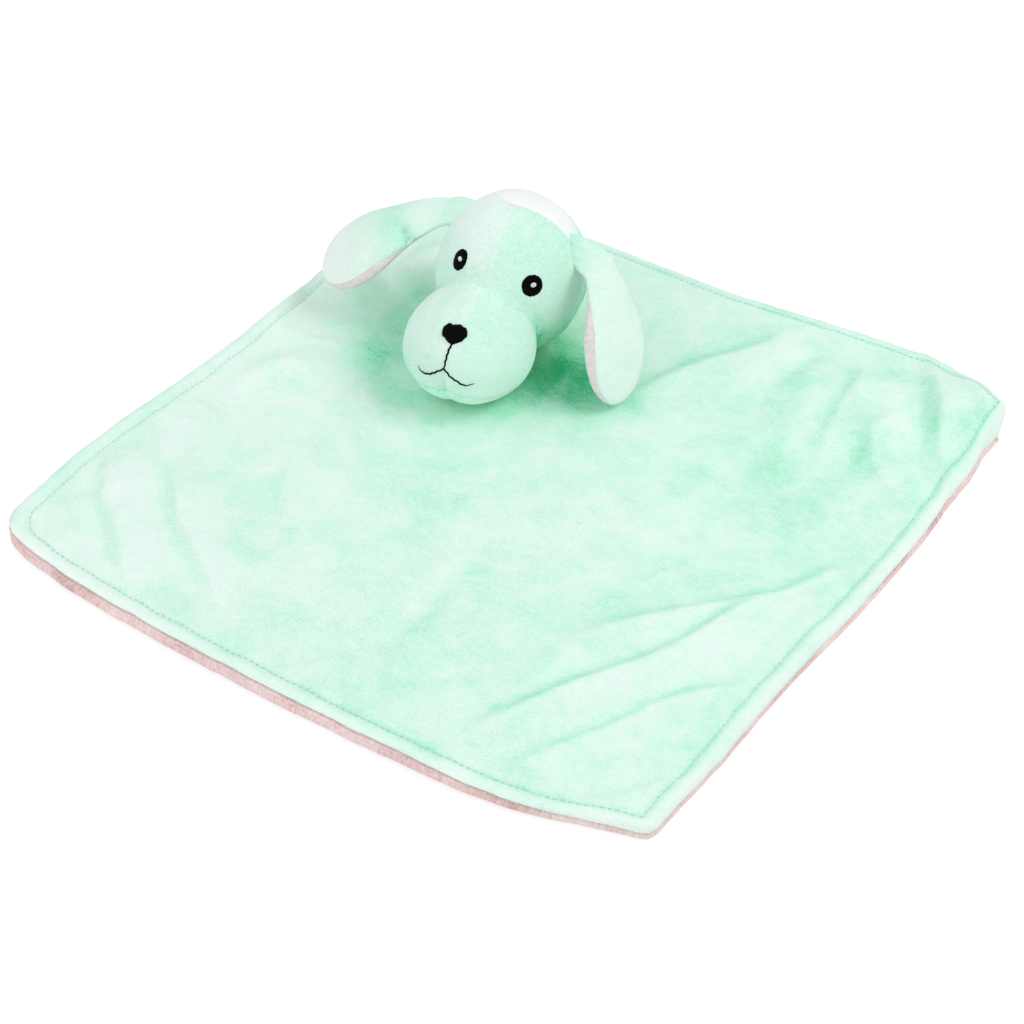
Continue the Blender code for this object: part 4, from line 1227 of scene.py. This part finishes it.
def make_ear(name, side, hinge, leave, swing, face, root_face, tip_height, reach, dents, shade, mint, lining):
    """A padded ear, plush outside and lined inside. It leaves the head one way, and then swings and droops to
    its tip. Its plush side faces one way at the root and another further out. The two sides meet at a
    drawn-in seam, which runs a little round one edge, so that the lining shows there."""
    hinge = np.array(HEAD.inverted() @ Vector(hinge))
    leave, face, root_face = towards(side, *leave), towards(side, *face), np.array(root_face)
    start = hinge + leave * 0.9 * MM
    bend = start + leave * EAR_BEND
    drop = start[2] - tip_height
    out = math.sqrt((EAR_LENGTH * reach) ** 2 - drop ** 2)
    end = start + towards(side, 0, swing) * out - np.array((0, 0, drop))
    inwards = (SKULL_CENTRE - hinge) / np.linalg.norm(SKULL_CENTRE - hinge)
    sunk = start + inwards * 2 * MM - leave * 10 * MM

    def ear_surface(ways, depth):
        """Places on the ear at a depth under its skin, how far along it they lie, and their dents."""
        s = (ways[:, 2] + 1) / 2
        t = s[:, None]
        along_it = unit((bend - start) * (1 - t) + (end - bend) * t)
        turn = step(0.34 - s, 0, 0.3)[:, None]
        across = unit(np.cross(along_it, face * (1 - turn) + root_face * turn))
        outwards = np.cross(across, along_it)
        ring = np.sqrt(np.maximum(1 - ways[:, 2] ** 2, 0))
        angle = np.arctan2(ways[:, 1], ways[:, 0])
        wide = EAR_WIDTH / 2 * along(EAR_WIDTHS, s) * ring
        thick = EAR_THICKNESS / 2 * along(EAR_THICKNESSES, s) * ring
        root = step(0.27 - s, 0, 0.2) * np.minimum(ring * 4, 1)
        wide = np.maximum(wide, root * (6.0 + 3.0 * step(s, 0.02, 0.12)) * MM)
        thick = np.maximum(thick, root * 4.6 * MM) + 1.3 * MM * ring * step(s, 0.2, 0.6)
        gathers = 1 + 0.05 * root * np.cos(9 * angle + 1)
        x, y = np.cos(angle), np.sin(angle)
        seam = y - seam_shift(x, 1, ways[:, 2], side)
        pinch = 0.75 * MM * bell(seam, 0.16)
        p = (start * (1 - t) + bend * t) * (1 - t) + (bend * (1 - t) + end * t) * t
        p += (sunk - start) * step(0.2 - s, 0, 0.2)[:, None]
        spot = np.stack((ways[:, 2] * EAR_LENGTH / 2, x * wide, y * thick), 1)
        lump = 0.5 * MM * wander(spot, 0.013, 60 + side) + 0.12 * MM * wander(spot, 0.004, 62 + side)
        pressed = np.zeros(len(s))
        for at, off, size, deep in dents:
            lengthwise = (s - at) * EAR_LENGTH / (size * MM)
            crosswise = (x * ring * wide - off * EAR_WIDTH / 2) / (size * MM)
            pressed += np.where(y > 0, deep * np.exp(-lengthwise ** 2 - crosswise ** 2), 0)
        lump -= pressed * MM
        reach_out = np.maximum(-pinch + lump - depth, -0.8 * np.minimum(wide, thick))
        return (
            p + across * (x * (wide * gathers + reach_out))[:, None]
            + outwards * (y * (thick * gathers + reach_out))[:, None]
        ), s, pressed

    for label, sign, mat, cad in (
        ("_plush", 1, mint, (name + "_outer", name + "_padding", name + "_root_seam")),
        ("_lining_plush", -1, lining, (name + "_lining",)),
    ):
        bm = ball(64, 72)
        for way in (-1, 1):
            ways = places_of(bm)
            ring = np.sqrt(np.maximum(1 - ways[:, 2] ** 2, 0))
            ways[:, 1] += way * seam_shift(ways[:, 0], ring, ways[:, 2], side)
            move_to(bm, ways)
            if way < 0:
                keep_side(bm, (0, sign, 0), 0.004)
        inner = two_faced(bm)
        p, s, pressed = ear_surface(unit(places_of(bm)), np.where(inner, EAR_PLUSH, 0))
        p[:, 2] = np.maximum(p[:, 2], LOWEST_EAR)
        move_to(bm, to_world(p))
        obj = finished(name + label, bm, mat)
        # Painted shade at the root and in the dents; the shade share paints shade across the middle of the
        # ear and makes its tip paler.
        tone_and_lighting = 0.86 - 0.24 * step(0.35 - s, 0, 0.3) - 0.05 * pressed + 0.08 * wander(p, 0.012, 65 + side)
        tone_and_lighting += 0.9 * shade * step(s, 0.72, 0.92) - shade * bell(s - 0.50, 0.16)
        give(obj, "tone_and_lighting", tone_and_lighting)
        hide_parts(*cad)
        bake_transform(obj)


NECK_RADIUS = 13.2 * MM


def make_neck(mint):
    """The plush sleeve between the blanket and the head, sewn down in a round."""
    bm = bmesh.new()
    bmesh.ops.create_cone(bm, cap_ends=False, segments=72, radius1=NECK_RADIUS, radius2=NECK_RADIUS, depth=1)
    edges = [e for e in bm.edges if abs(e.verts[0].co.z - e.verts[1].co.z) > 0.5]
    bmesh.ops.subdivide_edges(bm, edges=edges, cuts=6)
    inner = two_faced(bm)
    p = places_of(bm)
    t = p[:, 2] + 0.5
    angle = np.arctan2(p[:, 1], p[:, 0])
    radius = NECK_RADIUS - 1.2 * MM * np.sin(t * math.pi) + 0.3 * MM * np.cos(14 * angle)
    radius -= np.where(inner, 1.2 * MM, 0)
    p = np.stack((radius * np.cos(angle), radius * np.sin(angle), (-0.4 + 3.6 * t) * MM), 1)
    move_to(bm, to_world(p))
    obj = finished("neck_sleeve", bm, mint)
    give(obj, "tone_and_lighting", np.full(len(p), 0.45))
    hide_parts("neck_base_panel", "neck_seam_thread")
    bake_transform(obj)


# The darkest mint is painted shade, for creases and the shadows round the head; the others are the pile's
# tones.
CREASE_SHADE, DEEP, MIDDLE, PALE = (0.05, 0.60, 0.28), (0.40, 0.87, 0.62), (0.66, 0.95, 0.80), (0.87, 0.97, 0.91)
# The near white is the painted highlight high on the back of the head.
GREYER_MIDDLE, HIGHLIGHT_NEAR_WHITE = (0.66, 0.90, 0.78), (0.97, 0.96, 0.96)
ROSE = (
    (0, (0.46, 0.27, 0.26)), (0.35, (0.78, 0.55, 0.53)), (0.65, (0.90, 0.72, 0.70)), (1, (0.97, 0.90, 0.89)),
)
LINING = (0.66, 0.58, 0.57), (0.93, 0.88, 0.87)
QUARTER = math.radians(90)


def main():
    place_camera()
    light_the_room()
    lay_floor()
    stops = ((0, CREASE_SHADE), (0.32, DEEP), (0.62, MIDDLE), (1, PALE))
    mint = velour("mint_plush_blanket", stops, (0, 0, QUARTER), mottle=0.72, speckle=0.75)
    light_mint = velour("mint_plush_right", ((0, CREASE_SHADE), (0.32, DEEP), (0.62, GREYER_MIDDLE), (1, PALE)),
                        (0, QUARTER, math.radians(20)), mottle=0.4, rows=0, pile=0.9, speckle=0.95)
    deep_mint = velour("mint_plush_left", stops, (0, QUARTER, 0), mottle=0.4, rows=0.05, pile=0.9,
                       speckle=0.95)
    # The back panel's velour, whose palest tone is near white as a painted highlight.
    back_mint_highlit = velour("mint_plush_back_highlit", (*stops[:3], (0.9, HIGHLIGHT_NEAR_WHITE)), mottle=0.4, rows=0.05)
    ear_mint = velour("mint_plush_ears", stops, (0, 0, math.radians(60)), mottle=0.45, rows=0.05, pile=0.9,
                      speckle=0.9)
    rose = velour("rose_plush_under", ROSE, strokes=1.1, rows=0, hair=(800, 800, 110))
    lining = combed_plush("ear_lining_plush", *LINING, (0, 0, math.radians(70)))
    thread = stitched("mint_thread_twist", (0.52, 0.86, 0.70), (0.78, 0.95, 0.88), (0, 0, 0.6), 0.5 * MM, 0.6)
    black = stitched("black_satin", (0.001, 0.001, 0.001), (0.005, 0.0045, 0.005), (0, QUARTER, 0))
    white = stitched("white_satin", (0.75, 0.75, 0.78), (0.95, 0.95, 0.95), (0, QUARTER, 0))
    make_blanket(mint, rose, thread)
    make_head(light_mint, deep_mint, back_mint_highlit, mint)
    make_face(black, white)
    make_neck(mint)
    make_ear("ear_left", 1, EAR_LEFT_HINGE, leave=(-1, 18), swing=49, face=(28, 16),
             root_face=(-0.10, -0.80, 0.55), tip_height=4.4 * MM, reach=0.935,
             dents=((0.22, 0.1, 5, 1.2),), shade=0.06, mint=ear_mint, lining=lining)
    make_ear("ear_right", -1, EAR_RIGHT_HINGE, leave=(-16, 3), swing=20, face=(69, 77),
             root_face=(-0.10, -0.45, 0.88), tip_height=20 * MM, reach=0.978,
             dents=((0.44, -0.66, 3.6, 3), (0.45, -0.38, 3, 3), (0.47, -0.1, 3, 1.8)), shade=0.28,
             mint=ear_mint, lining=lining)


main()
